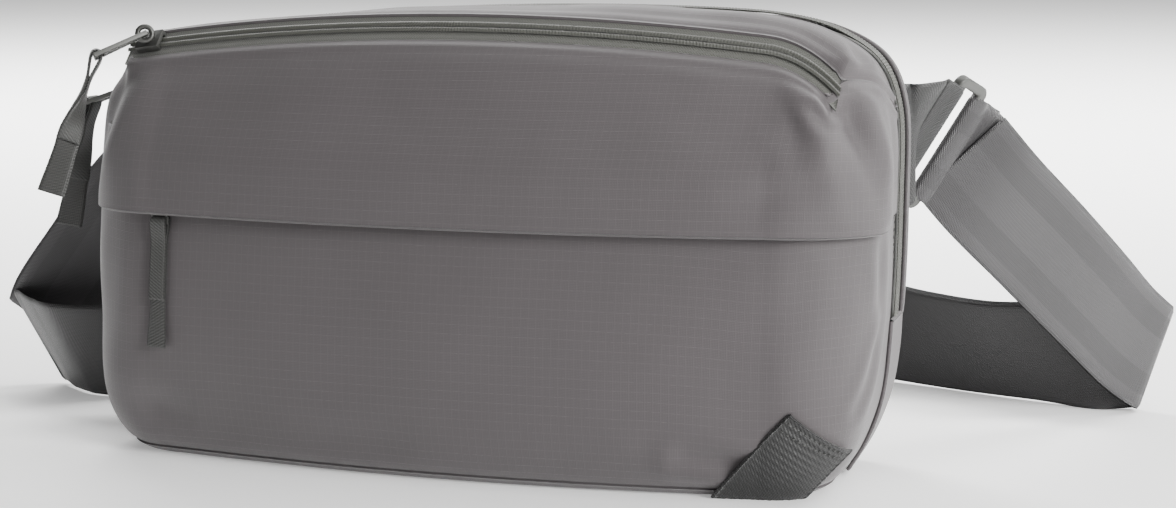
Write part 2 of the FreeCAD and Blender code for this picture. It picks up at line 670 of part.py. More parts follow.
def make_strap_end(name, side, towards):
    """Wing and ring.  Returns the strap's first stations off the ring, and its loop round it."""
    centre, up, root = RING_C, RING_UP, WING_ROOT
    if side < 0:
        centre, up, root = mirror(centre), mirror(up), mirror(root)
    wing_run, strap_run = centre - root, towards - centre
    run = wing_run.normalize() + strap_run.normalize()
    run.normalize()
    up = square_to(up, run)
    face = up.cross(run)
    add("strap_ring_" + name, ring(centre, up, run))
    bar = RING_SLOT / 2 + RING_BAR / 2
    reach = RING_BAR / 2 + WEB_AIR + WEB_T / 2
    inner_bar, outer_bar = centre - run * bar, centre + run * bar
    wall = inner_bar - run * reach
    bulge = V(side * WING_BULGE_X, WING_BULGE_Y, 0.0)
    wing = ribbon([(root, UP), (root + bulge, square_to(UP + up, run)),
                   (wall, up, run)], WEB_W, WEB_T)
    add("wing_" + name, wing.fuse(place(bar_loop(), inner_bar, run, face)))
    wall = outer_bar + run * reach
    start = [(wall, up, run), (wall + run * LOOP_TAIL, up, run)]
    return start, place(bar_loop(), outer_bar, run, face)


def fold(at, radius):
    """The strap where it is folded flat: a rod along its width."""
    point, up = at
    return Part.makeCylinder(radius, WEB_W, point - up * (WEB_W / 2), up)


def fuse_all(shapes):
    whole = shapes[0]
    for shape in shapes[1:]:
        whole = whole.fuse(shape)
    return whole


def biggest(shape):
    return max(shape.Solids, key=lambda solid: solid.Volume)


def make_strap():
    layers = WEB_T + WEB_AIR
    right_start, right_loop = make_strap_end("right", 1, RIGHT_DROP[0][0])
    left_start, left_loop = make_strap_end("left", -1, LEFT_RISE[-1][0])
    left_end = [(point, up, run * -1) for point, up, run in reversed(left_start)]
    drop = right_start + RIGHT_DROP + [RIGHT_FOLD]
    floor = [RIGHT_FOLD] + FLOOR_RUN + [LEFT_FOLD]
    rise = [LEFT_FOLD] + LEFT_RISE + left_end
    pieces = [ribbon(part, WEB_W, WEB_T) for part in (drop, floor, rise)]
    pieces += [fold(RIGHT_FOLD, FOLD_R), fold(LEFT_FOLD, FOLD_R), right_loop, left_loop]
    whole = fuse_all(pieces)
    add("strap_webbing", whole)

    # the free end comes back outside the strap, round the fold and through the adjuster
    sleeve = fold(RIGHT_FOLD, FOLD_R + layers).cut(fold(RIGHT_FOLD, FOLD_R + WEB_AIR))
    doubled = [ribbon(part, WEB_W, WEB_T, layers) for part in (drop, floor[:RETURN_STATIONS])]
    add("strap_return", biggest(fuse_all(doubled + [sleeve]).cut(whole)))

    run = ADJUSTER_TO - ADJUSTER_FROM
    run.normalize()
    face = run.cross(UP)
    half_in = WEB_W / 2 + ADJUSTER_AIR
    thick_in = WEB_T / 2 + layers / 2 + ADJUSTER_AIR
    wall = ADJUSTER_WALL
    body = box(-ADJUSTER_L / 2, ADJUSTER_L / 2, -half_in - wall, half_in + wall,
               -thick_in - wall, thick_in + wall)
    body = body.cut(box(-BIG, BIG, -half_in, half_in, -thick_in, thick_in))
    centre = (ADJUSTER_FROM + ADJUSTER_TO) * 0.5 + face * (layers / 2)
    add("strap_adjuster", place(body, centre, run, face))


def main():
    os.makedirs("parts", exist_ok=True)
    make_skins()
    make_main_zip()
    make_flat_zip("top_zip", top_band, TOP_TAPE_HALF, TOP_COIL_HALF, TOP_COIL_H)
    make_flat_zip("pocket_zip", pocket_band, POCKET_TAPE_HALF, POCKET_COIL_HALF, POCKET_COIL_H)
    joints = {
        "top slider turns about": (TOP_CENTRE, TOP_ACROSS),
        "top pull": make_top_slider(),
        "main pull": make_main_slider(),
        "pocket tab": make_pocket_slider(),
        "pocket flap": make_flap(),
        "pocket slider turns about": (POCKET_CENTRE, UP),
        "strap": (RING_C, RIGHT),
        "back panel": (V(0, BACK_Y, HINGE_Z), RIGHT * -1),
    }
    make_compartment()
    make_accessory_loop()
    make_strap()
    for name, shape in PARTS.items():
        shape.exportStep("parts/" + name + ".step")
        print(name, len(shape.Solids), "solids", round(shape.Volume / 1000, 1), "cm3")
    for name, places in joints.items():
        print(name, [[round(v, 4) for v in place] for place in places])


main()
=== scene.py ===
"""Looks of the camera sling bag: fabric shells, zips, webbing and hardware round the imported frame.

Geometry is worked out in millimetres in the frame's own axes and written to meshes in metres.
"""

import math

import bmesh
import bpy
import numpy as np
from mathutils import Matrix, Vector, noise
from mathutils.bvhtree import BVHTree


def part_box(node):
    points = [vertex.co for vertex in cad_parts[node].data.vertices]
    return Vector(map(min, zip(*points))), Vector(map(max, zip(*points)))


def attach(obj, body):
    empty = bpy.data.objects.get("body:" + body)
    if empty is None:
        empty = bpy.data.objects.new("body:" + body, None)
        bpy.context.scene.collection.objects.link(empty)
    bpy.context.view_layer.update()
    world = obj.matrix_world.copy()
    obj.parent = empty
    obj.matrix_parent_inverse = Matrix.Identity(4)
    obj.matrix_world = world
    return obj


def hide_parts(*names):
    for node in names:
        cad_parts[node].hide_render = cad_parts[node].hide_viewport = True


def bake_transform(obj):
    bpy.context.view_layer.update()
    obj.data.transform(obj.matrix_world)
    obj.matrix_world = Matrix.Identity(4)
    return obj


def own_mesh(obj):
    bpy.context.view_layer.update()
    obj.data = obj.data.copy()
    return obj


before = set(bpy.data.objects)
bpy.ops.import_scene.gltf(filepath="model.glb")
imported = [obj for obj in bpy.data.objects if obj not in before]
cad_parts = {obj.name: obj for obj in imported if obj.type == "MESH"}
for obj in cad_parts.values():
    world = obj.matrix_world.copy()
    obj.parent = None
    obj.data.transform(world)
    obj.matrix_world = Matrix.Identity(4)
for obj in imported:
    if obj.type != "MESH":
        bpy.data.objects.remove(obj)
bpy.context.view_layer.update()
MM = 0.001

# ---- Driving dimensions -----------------------------------------------------------------------
BODY_W, BODY_H, BODY_D = 334.0, 186.0, 112.0
FRONT_BULGE_R = 725.0
HINGE_Z = 64.0
BASE_Z = 3.0              # the base cover turns up this far
HEM_Z = 104.0             # hem of the flap
HEM_RISE = 4.0            # and how much it rises towards the main zip
FLAP_ROOT_Z = 126.0
FLAP_HALF = 138.0
FLAP_STAND = 6.0          # flap's face outside the body's face
FLAP_FADE_Z = 152.0       # the upper panel leaves the body's face below this height
POCKET_EDGE_Z = 106.5     # top edge of the lower panel, at the pocket zip
POCKET_FACING_Z = 117.5
MAIN_ZIP_Y = 27.0
MAIN_TAPE_HALF = 11.0
MAIN_FRONT_Y = MAIN_ZIP_Y - MAIN_TAPE_HALF
MAIN_REAR_Y = MAIN_ZIP_Y + MAIN_TAPE_HALF
SIDE_END_Z = 150.0        # the seam from the top zip's end meets the main zip at this height
TOP_ZIP_R = 739.0
TOP_ZIP_HALF = 148.0
TOP_TAPE_HALF = 7.0
TOP_MID = np.array([0.0, -27.0, 180.5])
POCKET_ZIP_Z = 112.0
POCKET_ZIP_HALF = 132.0
FABRIC_T = 1.6
TUCK = 1.6                # a tape runs this far under the fabric beside it
TAPE_RUN_ON = 3.5         # and this far past its zip's ends
WEB_W, WEB_T, WEB_AIR = 50.0, 1.6, 0.35
CROWN_MID_X = 45.0        # the crown's highest point
CROWN_LIFT = 0.5
CROWN_DROP = 11.5         # lower than that at CROWN_SPAN from it
CROWN_SPAN = 178.0
CORNER_FULL = 2.5         # the left front corner bulges, more so at its foot
CORNER_FOOT = 3.5

WORLD_STRENGTH = 0.27      # of the light from all round
WORLD_SIDE = 0.30         # and how much stronger it is from the right than from above
FLOOR_GLOW = 0.30         # the floor's own light, which keeps it pale behind the bag

SIDE_X = BODY_W / 2
FRONT_Y, BACK_Y = -BODY_D / 2, BODY_D / 2
FRONT_AXIS_Y = FRONT_Y + FRONT_BULGE_R
X_AXIS, Y_AXIS, Z_AXIS = np.eye(3)

# height, side inset, front inset, back inset, front corner radius, back corner radius
SECTIONS = [
    (0.0, 75.0, 42.0, 44.0, 9.0, 8.0),
    (0.0, 24.0, 15.5, 17.0, 22.0, 14.0),
    (8.0, 14.0, 7.5, 9.0, 28.0, 16.0),
    (30.0, 5.0, 1.5, 3.0, 34.0, 16.0),
    (60.0, 1.5, 0.0, 1.0, 38.0, 16.0),
    (110.0, 0.0, 3.5, 0.0, 40.0, 16.0),
    (150.0, 1.0, 9.5, 1.0, 38.0, 16.0),
    (170.0, 8.0, 17.5, 5.0, 32.0, 14.0),
    (181.0, 24.0, 26.5, 13.0, 24.0, 12.0),
    (186.0, 47.0, 39.5, 25.0, 12.0, 9.0),
    (187.0, 80.0, 47.0, 36.0, 8.0, 8.0),
    (187.4, 120.0, 52.0, 48.0, 4.0, 4.0),
]


# ---- Small tools ------------------------------------------------------------------------------
def smooth(low, high, x):
    t = np.clip((np.asarray(x, float) - low) / (high - low), 0, 1)
    return t * t * (3 - 2 * t)


def bell(distance, width):
    return np.exp(-(np.asarray(distance) / width) ** 2)


def unit(v):
    v = np.asarray(v, float)
    return v / np.maximum(np.linalg.norm(v, axis=-1, keepdims=True), 1e-9)


def lengths(points):
    """Distance run along a polyline, from 0."""
    steps = np.linalg.norm(np.diff(points, axis=0), axis=1)
    return np.concatenate([[0], np.cumsum(steps)])


def resample(points, count, from_share=0.0, to_share=1.0):
    run = lengths(points)
    at = np.linspace(from_share, to_share, count) * run[-1]
    return np.stack([np.interp(at, run, points[:, k]) for k in range(points.shape[1])], 1)


def catmull(points, per_span):
    """A smooth line through points, as a dense polyline."""
    p = np.asarray(points, float)
    p = np.vstack([2 * p[0] - p[1], p, 2 * p[-1] - p[-2]])
    knots = np.concatenate([[0], np.cumsum(np.sqrt(np.linalg.norm(np.diff(p[:, :3], axis=0), axis=1)))])
    out = []
    for i in range(1, len(p) - 2):
        t0, t1, t2, t3 = knots[i - 1:i + 3]
        for t in np.linspace(t1, t2, per_span, endpoint=False):
            a1 = (p[i - 1] * (t1 - t) + p[i] * (t - t0)) / (t1 - t0)
            a2 = (p[i] * (t2 - t) + p[i + 1] * (t - t1)) / (t2 - t1)
            a3 = (p[i + 1] * (t3 - t) + p[i + 2] * (t - t2)) / (t3 - t2)
            b1 = (a1 * (t2 - t) + a2 * (t - t0)) / (t2 - t0)
            b2 = (a2 * (t3 - t) + a3 * (t - t1)) / (t3 - t1)
            out.append((b1 * (t2 - t) + b2 * (t - t1)) / (t2 - t1))
    out.append(p[-2])
    return np.array(out)


def wander(points, scale, seed):
    """Soft noise from -1 to 1 at each point."""
    flat = points.reshape(-1, 3)
    offset = Vector((seed * 17.3, seed * 5.1, seed * 9.7))
    values = [noise.noise(Vector(p / scale) + offset) for p in flat]
    return np.array(values).reshape(points.shape[:-1])


# ---- The body's surface -----------------------------------------------------------------------
def section_rows():
    rows = np.array(SECTIONS)
    run = lengths(np.stack([rows[:, 0], rows[:, 1] + rows[:, 2]], 1))
    return catmull(np.hstack([np.stack([run, run * 0, run * 0], 1), rows]), 14)[:, 3:]


def outline(row, per_edge=26):
    """One closed horizontal outline, as points in order from the middle of the front."""
    z, side, front, back, r_front, r_back = row
    half = SIDE_X - side
    radius = FRONT_BULGE_R - front
    x_front, x_back = half - r_front, half - r_back
    y_front = FRONT_AXIS_Y - math.sqrt(radius ** 2 - x_front ** 2)
    y_back = BACK_Y - back
    s = np.linspace(0, 1, per_edge, endpoint=False)
    turn = s * math.pi / 2
    xs = x_front * s
    parts = [
        np.stack([xs, FRONT_AXIS_Y - np.sqrt(radius ** 2 - xs ** 2)], 1),
        np.stack([x_front + r_front * np.sin(turn), y_front + r_front * (1 - np.cos(turn))], 1),
        np.stack([np.full(per_edge, half), y_front + r_front + (y_back - r_back - y_front - r_front) * s], 1),
        np.stack([x_back + r_back * np.cos(turn), y_back - r_back * (1 - np.sin(turn))], 1),
        np.stack([x_back * (1 - s), np.full(per_edge, y_back)], 1),
    ]
    right = np.vstack(parts + [[[0, y_back]]])
    left = right[-2:0:-1] * [-1, 1]
    ring = np.vstack([right, left])
    return np.hstack([ring, np.full((len(ring), 1), z)])


def arch(points):
    """The crown is lower towards the sides and on the left, where the lower corner is fuller."""
    x, y, z = points[..., 0], points[..., 1], points[..., 2]
    drop = CROWN_LIFT - CROWN_DROP * ((points[..., 0] - CROWN_MID_X) / CROWN_SPAN) ** 2
    out = points.copy()
    out[..., 2] += drop * smooth(138, 184, z)
    full = CORNER_FULL + CORNER_FOOT * (1 - smooth(15, 70, z))
    out[..., 0] -= full * smooth(70, 150, -x) * (1 - smooth(-5, 14, y)) * (1 - smooth(115, 148, z))
    return out


def body_tree():
    rings = arch(np.array([outline(row) for row in section_rows()]))
    count = rings.shape[1]
    verts = rings.reshape(-1, 3)
    quads = []
    for j in range(len(rings) - 1):
        for i in range(count):
            k = (i + 1) % count
            quads.append((j * count + i, j * count + k, (j + 1) * count + k, (j + 1) * count + i))
    quads.append(tuple(range(count))[::-1])
    quads.append(tuple((len(rings) - 1) * count + i for i in range(count)))
    return BVHTree.FromPolygons([tuple(v) for v in verts], quads)


BODY = body_tree()
CORE_HALF = 118.0
CORE_Y, CORE_Z = 4.0, 95.0


def project(points):
    """Moves points out from the body's core onto its surface."""
    flat = points.reshape(-1, 3)
    core = np.stack([
        CORE_HALF * np.tanh(flat[:, 0] / CORE_HALF / 1.15),
        np.full(len(flat), CORE_Y),
        np.full(len(flat), CORE_Z)], 1)
    rays = unit(flat - core)
    out = flat.copy()
    for n, (start, ray) in enumerate(zip(core, rays)):
        hit = BODY.ray_cast(Vector(start), Vector(ray))
        if hit[0] is not None:
            out[n] = hit[0]
    return out.reshape(points.shape)


def level_line(z, y_low, y_high, count):
    """The body's outline at a height, from its left end to its right end, between two depths.

    Round the front if y_high is where it ends, round the back if y_low is.
    """
    turns = np.linspace(-math.pi, math.pi, 1440, endpoint=False)
    reach = np.stack([np.sin(turns) * 400, -np.cos(turns) * 400, np.zeros_like(turns)], 1)
    hits = []
    for p in reach:
        core = Vector((np.clip(p[0], -CORE_HALF, CORE_HALF), CORE_Y, z))
        hit = BODY.ray_cast(core, Vector((p[0] - core.x, p[1], 0)).normalized())
        hits.append(hit[0])
    ring = np.array(hits)
    if y_low <= FRONT_Y:
        keep = ring[ring[:, 1] <= y_high]
    else:
        back = np.roll(ring, len(ring) // 2, axis=0)
        keep = back[back[:, 1] >= y_low]
        keep = keep[::-1]
    return resample(keep, count)


def upright_line(y, z_low, count):
    """The body's outline in a plane y = const, from its left foot over the crown to its right one."""
    turns = np.linspace(-math.pi / 2, math.pi / 2, 1200)
    points = []
    for turn in turns:
        x = 300 * math.sin(turn)
        core = Vector((np.clip(x, -CORE_HALF, CORE_HALF), y, HINGE_Z - 8))
        ray = Vector((x - core.x, 0, 300 * math.cos(turn) + 1e-6)).normalized()
        points.append(BODY.ray_cast(core, ray)[0])
    line = np.array(points)
    left = np.array([BODY.ray_cast(Vector((0, y, z)), Vector((-1, 0, 0)))[0]
                     for z in np.arange(z_low, HINGE_Z - 8, 1.5)]).reshape(-1, 3)
    right = left[::-1] * [-1, 1, 1]
    line = np.vstack([left, line, right])
    return resample(line[line[:, 2] >= z_low - 0.01], count)


def patch(low, high, rows, grab=26.0):
    """A grid on the body between two lines with as many points, whose edges are exactly the lines."""
    s = np.linspace(0, 1, rows)[:, None, None]
    grid = project(low[None] * (1 - s) + high[None] * s)
    across = np.linalg.norm(high - low, axis=1)[None, :, None]
    for edge, row, share in ((low, 0, s), (high, -1, 1 - s)):
        pull = 1 - smooth(0, 1, share * np.maximum(across, 1) / grab)
        grid += (edge - grid[row])[None] * pull
    return grid


# ---- Normals, folds and meshes ----------------------------------------------------------------
def normals_of(grid):
    along = np.gradient(grid, axis=1)
    up = np.gradient(grid, axis=0)
    n = np.cross(along, up)
    flat = np.linalg.norm(n, axis=-1) < 1e-9
    n[flat] = grid[flat] - [0, CORE_Y, CORE_Z]
    return unit(n)


def relax(grid, times):
    for _ in range(times):
        grid[1:-1, 1:-1] = (grid[:-2, 1:-1] + grid[2:, 1:-1] + grid[1:-1, :-2] + grid[1:-1, 2:]) / 4
    return grid


# a fold: its two ends, depth, width and how much its shoulders rise
FOLDS = [
    ((153, -26, 158), (156, -20, 118), 3.4, 6.5, 0.8),       # below the top zip's right end
    ((140, -36, 156), (147, -33, 146), 2.2, 2.6, 0.6),
    ((133, -40, 152), (139, -38, 138), 1.6, 5.0, 0.4),
    ((126, -42, 158), (134, -41, 146), 2.0, 2.2, 0.8),
    ((146, -30, 160), (150, -26, 150), 2.2, 2.0, 0.8),
    ((156, -22, 150), (158, -14, 112), 1.8, 4.2, 0.7),
    ((120, -47, 118), (150, -30, 124), 0.9, 6.0, 0.4),
    ((150, -20, 163), (160, -8, 160), 2.0, 3.0, 0.7),
    ((158, -12, 166), (152, 2, 174), 1.6, 3.4, 0.5),
    ((166, 4, 150), (167, 8, 122), 1.1, 5.0, 0.4),
    ((166, -9, 101), (165, -8, 72), 1.6, 4.0, 0.5),          # right side, under the hem
    ((166, -6, 66), (158, -22, 36), 2.0, 3.4, 0.6),
    ((141, -38, 98), (138, -40, 66), 1.0, 9.0, 0.4),
    ((98, -46, 17), (140, -36, 13), 2.2, 4.2, 0.8),          # above the webbing loop
    ((84, -50, 24), (118, -48, 22), 1.0, 6.0, 0.4),
    ((-153, -26, 158), (-158, -16, 120), 2.4, 7.0, 0.6),     # left corner
    ((-148, -34, 100), (-150, -30, 40), 1.4, 9.0, 0.4),
    ((-120, -46, 22), (-146, -30, 26), 1.6, 6.0, 0.5),
    ((-60, -52, 18), (-20, -54, 16), 0.9, 7.0, 0.4),
    ((-166, 2, 96), (-166, 4, 60), 1.4, 5.0, 0.4),
]


def fold_depth(points):
    """How far the fabric is pushed out by its folds, negative in their valleys."""
    out = np.zeros(points.shape[:-1])
    for a, b, depth, width, shoulder in FOLDS:
        a, b = np.array(a, float), np.array(b, float)
        run = b - a
        t = ((points - a) @ run) / (run @ run)
        nearest = a + np.clip(t, 0, 1)[..., None] * run
        d = np.linalg.norm(points - nearest, axis=-1)
        strength = 0.45 + 0.55 * np.sin(math.pi * np.clip(t, 0, 1))
        out += depth * strength * (shoulder * bell(d - 2 * width, width) - bell(d, width))
    return out


def slack(points, seed, amount=0.55):
    """The gentle unevenness of fabric that is stretched over foam."""
    wide = wander(points * [1, 1, 1.5], 46.0, seed)
    fine = wander(points, 15.0, seed + 3)
    return amount * (wide + 0.32 * fine)


def quads(rows, cols, start=0, flip=False):
    faces = []
    for j in range(rows - 1):
        for i in range(cols - 1):
            a = start + j * cols + i
            face = (a, a + 1, a + cols + 1, a + cols)
            faces.append(face[::-1] if flip else face)
    return faces


def cloth_uv(grid):
    """Distance along the fabric from its middle column and from its lowest row, in millimetres."""
    step_u = np.linalg.norm(np.diff(grid, axis=1), axis=-1)
    step_v = np.linalg.norm(np.diff(grid, axis=0), axis=-1)
    u = np.hstack([np.zeros((len(grid), 1)), np.cumsum(step_u, 1)])
    u -= u[:, [grid.shape[1] // 2]]
    v = np.vstack([np.zeros((1, grid.shape[1])), np.cumsum(step_v, 0)])
    return np.stack([u, v], -1)


def new_mesh(name, verts, faces, uv=None, vertex_normals=None, smooth_shade=True):
    mesh = bpy.data.meshes.new(name)
    mesh.from_pydata((np.asarray(verts) * MM).tolist(), [], faces)
    mesh.validate()
    if uv is not None:
        layer = mesh.uv_layers.new(name="weave")
        index = np.zeros(len(mesh.loops), np.int32)
        mesh.loops.foreach_get("vertex_index", index)
        layer.uv.foreach_set("vector", (np.asarray(uv)[index] * MM).astype(np.float32).ravel())
    mesh.polygons.foreach_set("use_smooth", [smooth_shade] * len(mesh.polygons))
    if vertex_normals is not None:
        mesh.normals_split_custom_set_from_vertices(vertex_normals.tolist())
    obj = bpy.data.objects.new(name, mesh)
    bpy.context.scene.collection.objects.link(obj)
    return obj


def sheet_mesh(name, grid, thick, uv=None, normals=None, rolled=(True, True, True, True), keep=False):
    """Fabric with a thickness: its face is the grid, its edges are rolled over or cut flat.

    rolled is for the first row, the last row, the first column and the last column.
    """
    rows, cols = grid.shape[:2]
    normals = normals_of(grid) if normals is None else normals
    uv = cloth_uv(grid) if uv is None else uv
    back = grid - normals * thick
    verts = [grid.reshape(-1, 3), back.reshape(-1, 3)]
    uvs = [uv.reshape(-1, 2), uv.reshape(-1, 2)]
    size = rows * cols
    faces = quads(rows, cols) + quads(rows, cols, size, True)
    index = np.arange(size).reshape(rows, cols)
    edges = [
        (index[0][::-1], grid[0] - grid[1]), (index[-1], grid[-1] - grid[-2]),
        (index[:, 0], grid[:, 0] - grid[:, 1]), (index[:, -1][::-1], grid[:, -1] - grid[:, -2])]
    total = 2 * size
    for n, (line, outward) in enumerate(edges):
        out = unit(outward)
        if n in (0, 3):
            out = out[::-1]
        face, rear = grid.reshape(-1, 3)[line], back.reshape(-1, 3)[line]
        chain = [line]
        if rolled[n]:
            for turn in (30, 90, 150):
                a = math.radians(turn)
                bulge = (face + rear) / 2 + (face - rear) / 2 * math.cos(a)
                verts.append(bulge + out * (thick / 2 * math.sin(a)))
                uvs.append(uv.reshape(-1, 2)[line])
                chain.append(total + np.arange(len(line)))
                total += len(line)
        chain.append(line + size)
        for one, two in zip(chain, chain[1:]):
            for i in range(len(line) - 1):
                faces.append((one[i + 1], one[i], two[i], two[i + 1]))
    custom = None
    if keep:
        custom = np.zeros((total, 3))
        custom[:size] = normals.reshape(-1, 3)
    return new_mesh(name, np.vstack(verts), faces, np.vstack(uvs), custom)


def finish_piece(obj, mat, body=None, stands_for=()):
    obj.data.materials.clear()
    obj.data.materials.append(MATERIALS[mat])
    if body:
        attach(obj, body)
    if stands_for:
        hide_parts(*stands_for)
    return obj


# ---- Materials --------------------------------------------------------------------------------
MATERIALS = {}


class Nodes:
    """A short way to write a node tree."""

    def __init__(self, name, **shader):
        self.mat = bpy.data.materials.new(name)
        self.mat.use_nodes = True
        self.tree = self.mat.node_tree
        self.shader = self.tree.nodes["Principled BSDF"]
        for key, value in shader.items():
            self.shader.inputs[key.replace("_", " ")].default_value = value
        MATERIALS[name] = self.mat

    def add(self, kind, **settings):
        node = self.tree.nodes.new("ShaderNode" + kind)
        for key, value in settings.items():
            setattr(node, key, value)
        return node

    def put(self, socket, value):
        if isinstance(value, bpy.types.NodeSocket):
            self.tree.links.new(value, socket)
        else:
            socket.default_value = value

    def math(self, operation, a, b=0.0, clamp=False):
        node = self.add("Math", operation=operation, use_clamp=clamp)
        self.put(node.inputs[0], a)
        self.put(node.inputs[1], b)
        return node.outputs[0]

    def weave_uv(self):
        split = self.add("SeparateXYZ")
        self.put(split.inputs[0], self.add("UVMap", uv_map="weave").outputs[0])
        return split.outputs[0], split.outputs[1]

    def noise(self, scale, detail=2.0, vector=None, rough=0.5):
        node = self.add("TexNoise")
        node.inputs["Scale"].default_value = scale
        node.inputs["Detail"].default_value = detail
        node.inputs["Roughness"].default_value = rough
        if vector is None:
            vector = self.add("TexCoord").outputs["Object"]
        self.put(node.inputs["Vector"], vector)
        return node.outputs[0]

    def wave(self, coordinate, pitch, phase=0.0):
        """0 to 1 and back every pitch."""
        turn = self.math("MULTIPLY_ADD", coordinate, 2 * math.pi / pitch)
        turn.node.inputs[2].default_value = phase
        return self.math("MULTIPLY_ADD", self.math("SINE", turn), 0.5).node.outputs[0]

    def line_at(self, coordinate, pitch, width):
        """1 on thin lines every pitch."""
        share = self.math("FRACT", self.math("DIVIDE", coordinate, pitch))
        away = self.math("ABSOLUTE", self.math("SUBTRACT", share, 0.5))
        near = self.math("SUBTRACT", 1.0, self.math("DIVIDE", away, width / pitch), clamp=True)
        return near

    def mix(self, share, a, b):
        node = self.add("Mix", data_type="RGBA")
        self.put(node.inputs["Factor"], share)
        self.put(node.inputs[6], a)
        self.put(node.inputs[7], b)
        return node.outputs[2]

    def colour(self, value):
        self.put(self.shader.inputs["Base Color"], value)

    def rough(self, value):
        self.put(self.shader.inputs["Roughness"], value)

    def bump(self, height, distance, strength=1.0):
        node = self.add("Bump")
        node.inputs["Distance"].default_value = distance
        node.inputs["Strength"].default_value = strength
        self.put(node.inputs["Height"], height)
        self.put(self.shader.inputs["Normal"], node.outputs[0])


def rgb(r, g, b):
    return (r, g, b, 1.0)


def scaled(colour, k):
    return rgb(*[c * k for c in colour[:3]])


SHELL = rgb(0.066, 0.059, 0.061)
TAPE = rgb(0.082, 0.083, 0.073)
STRAP = rgb(0.052, 0.050, 0.052)
DARK = rgb(0.016, 0.016, 0.016)
PLASTIC = rgb(0.072, 0.073, 0.068)


def shell_material():
    n = Nodes("shell_fabric", Roughness=0.62, Sheen_Weight=0.25, Sheen_Roughness=0.5)
    n.shader.inputs["Specular IOR Level"].default_value = 0.35
    u, v = n.weave_uv()
    broken = n.math("MULTIPLY_ADD", n.noise(900.0, 1.0), 1.6, clamp=True)
    broken.node.inputs[2].default_value = -0.35
    rows = n.math("MULTIPLY", n.line_at(v, 0.0038, 0.00030), broken)
    cols = n.math("MULTIPLY", n.line_at(u, 0.0031, 0.00026), 0.35)
    grid = n.math("MAXIMUM", rows, cols)
    threads = n.math("MULTIPLY", n.wave(u, 0.00062), n.wave(v, 0.00062))
    cloudy = n.noise(14.0, 3.0)
    tone = n.mix(cloudy, scaled(SHELL, 0.90), rgb(0.071, 0.062, 0.066))
    tone = n.mix(n.math("MULTIPLY", threads, 0.35), tone, scaled(SHELL, 1.25))
    n.colour(n.mix(n.math("MULTIPLY", grid, 0.30), tone, scaled(SHELL, 2.2)))
    n.rough(n.math("MULTIPLY_ADD", cloudy, 0.12).node.outputs[0])
    n.shader.inputs["Roughness"].links[0].from_node.inputs[2].default_value = 0.54
    height = n.math("ADD", n.math("MULTIPLY", threads, 0.5), n.math("MULTIPLY", grid, 0.9))
    n.bump(height, 0.00012, 0.75)


def tape_material():
    n = Nodes("zip_tape", Roughness=0.75, Sheen_Weight=0.2)
    u, v = n.weave_uv()
    slant = n.math("ADD", u, n.math("PINGPONG", v, 0.0012))
    herring = n.wave(slant, 0.0011)
    fuzz = n.noise(1500.0, 2.0)
    share = n.math("MULTIPLY", herring, fuzz)
    n.colour(n.mix(share, scaled(TAPE, 0.72), scaled(TAPE, 1.45)))
    n.bump(n.math("ADD", herring, fuzz), 0.00015, 0.8)


def coil_material():
    n = Nodes("zip_coil", Roughness=0.48)
    u, v = n.weave_uv()
    ribs = n.wave(u, 0.0013)
    n.colour(n.mix(ribs, scaled(TAPE, 0.50), scaled(TAPE, 1.15)))
    n.bump(n.noise(2200.0, 1.0), 0.00005, 0.5)


def metal_material():
    n = Nodes("slider_metal", Roughness=0.36, Metallic=0.7)
    worn = n.noise(160.0, 3.0)
    n.colour(n.mix(worn, rgb(0.045, 0.045, 0.043), rgb(0.10, 0.10, 0.095)))
    n.rough(n.math("MULTIPLY_ADD", worn, 0.25))
    n.shader.inputs["Roughness"].links[0].from_node.inputs[2].default_value = 0.26
    n.bump(n.noise(900.0, 2.0), 0.00003, 0.4)


def plastic_material():
    n = Nodes("moulded_plastic", Roughness=0.45)
    grain = n.noise(1400.0, 3.0)
    cloud = n.noise(60.0, 2.0)
    n.colour(n.mix(cloud, scaled(PLASTIC, 0.85), scaled(PLASTIC, 1.2)))
    n.rough(n.math("MULTIPLY_ADD", grain, 0.2))
    n.shader.inputs["Roughness"].links[0].from_node.inputs[2].default_value = 0.36
    n.bump(grain, 0.00006, 0.6)


def webbing_material(name, colour, sheen, rib, striped):
    n = Nodes(name, Roughness=0.5, Sheen_Weight=sheen, Sheen_Roughness=0.35)
    u, v = n.weave_uv()
    cross = n.wave(v, rib)
    twill = n.wave(n.math("ADD", v, n.math("MULTIPLY", u, 0.6)), rib)
    lengthwise = n.wave(u, 0.00075)
    fuzz = n.noise(1300.0, 2.0)
    share = n.math("MULTIPLY", n.math("MULTIPLY", cross, 0.6), n.math("ADD", 0.4, lengthwise))
    tone = n.mix(share, scaled(colour, 0.74), scaled(colour, 1.4))
    if striped:
        away = n.math("ABSOLUTE", u)
        middle = n.math("LESS_THAN", away, 0.0085)
        edge = n.math("GREATER_THAN", away, 0.0185)
        satin = n.math("MAXIMUM", middle, edge)
        tone = n.mix(n.math("MULTIPLY", satin, 0.22), tone, scaled(colour, 1.5))
        n.rough(n.math("MULTIPLY_ADD", satin, -0.16))
        n.shader.inputs["Roughness"].links[0].from_node.inputs[2].default_value = 0.55
    n.colour(n.mix(n.math("MULTIPLY", fuzz, 0.3), tone, scaled(colour, 0.7)))
    n.bump(n.math("ADD", twill, n.math("MULTIPLY", lengthwise, 0.5)), 0.00016, 0.8)


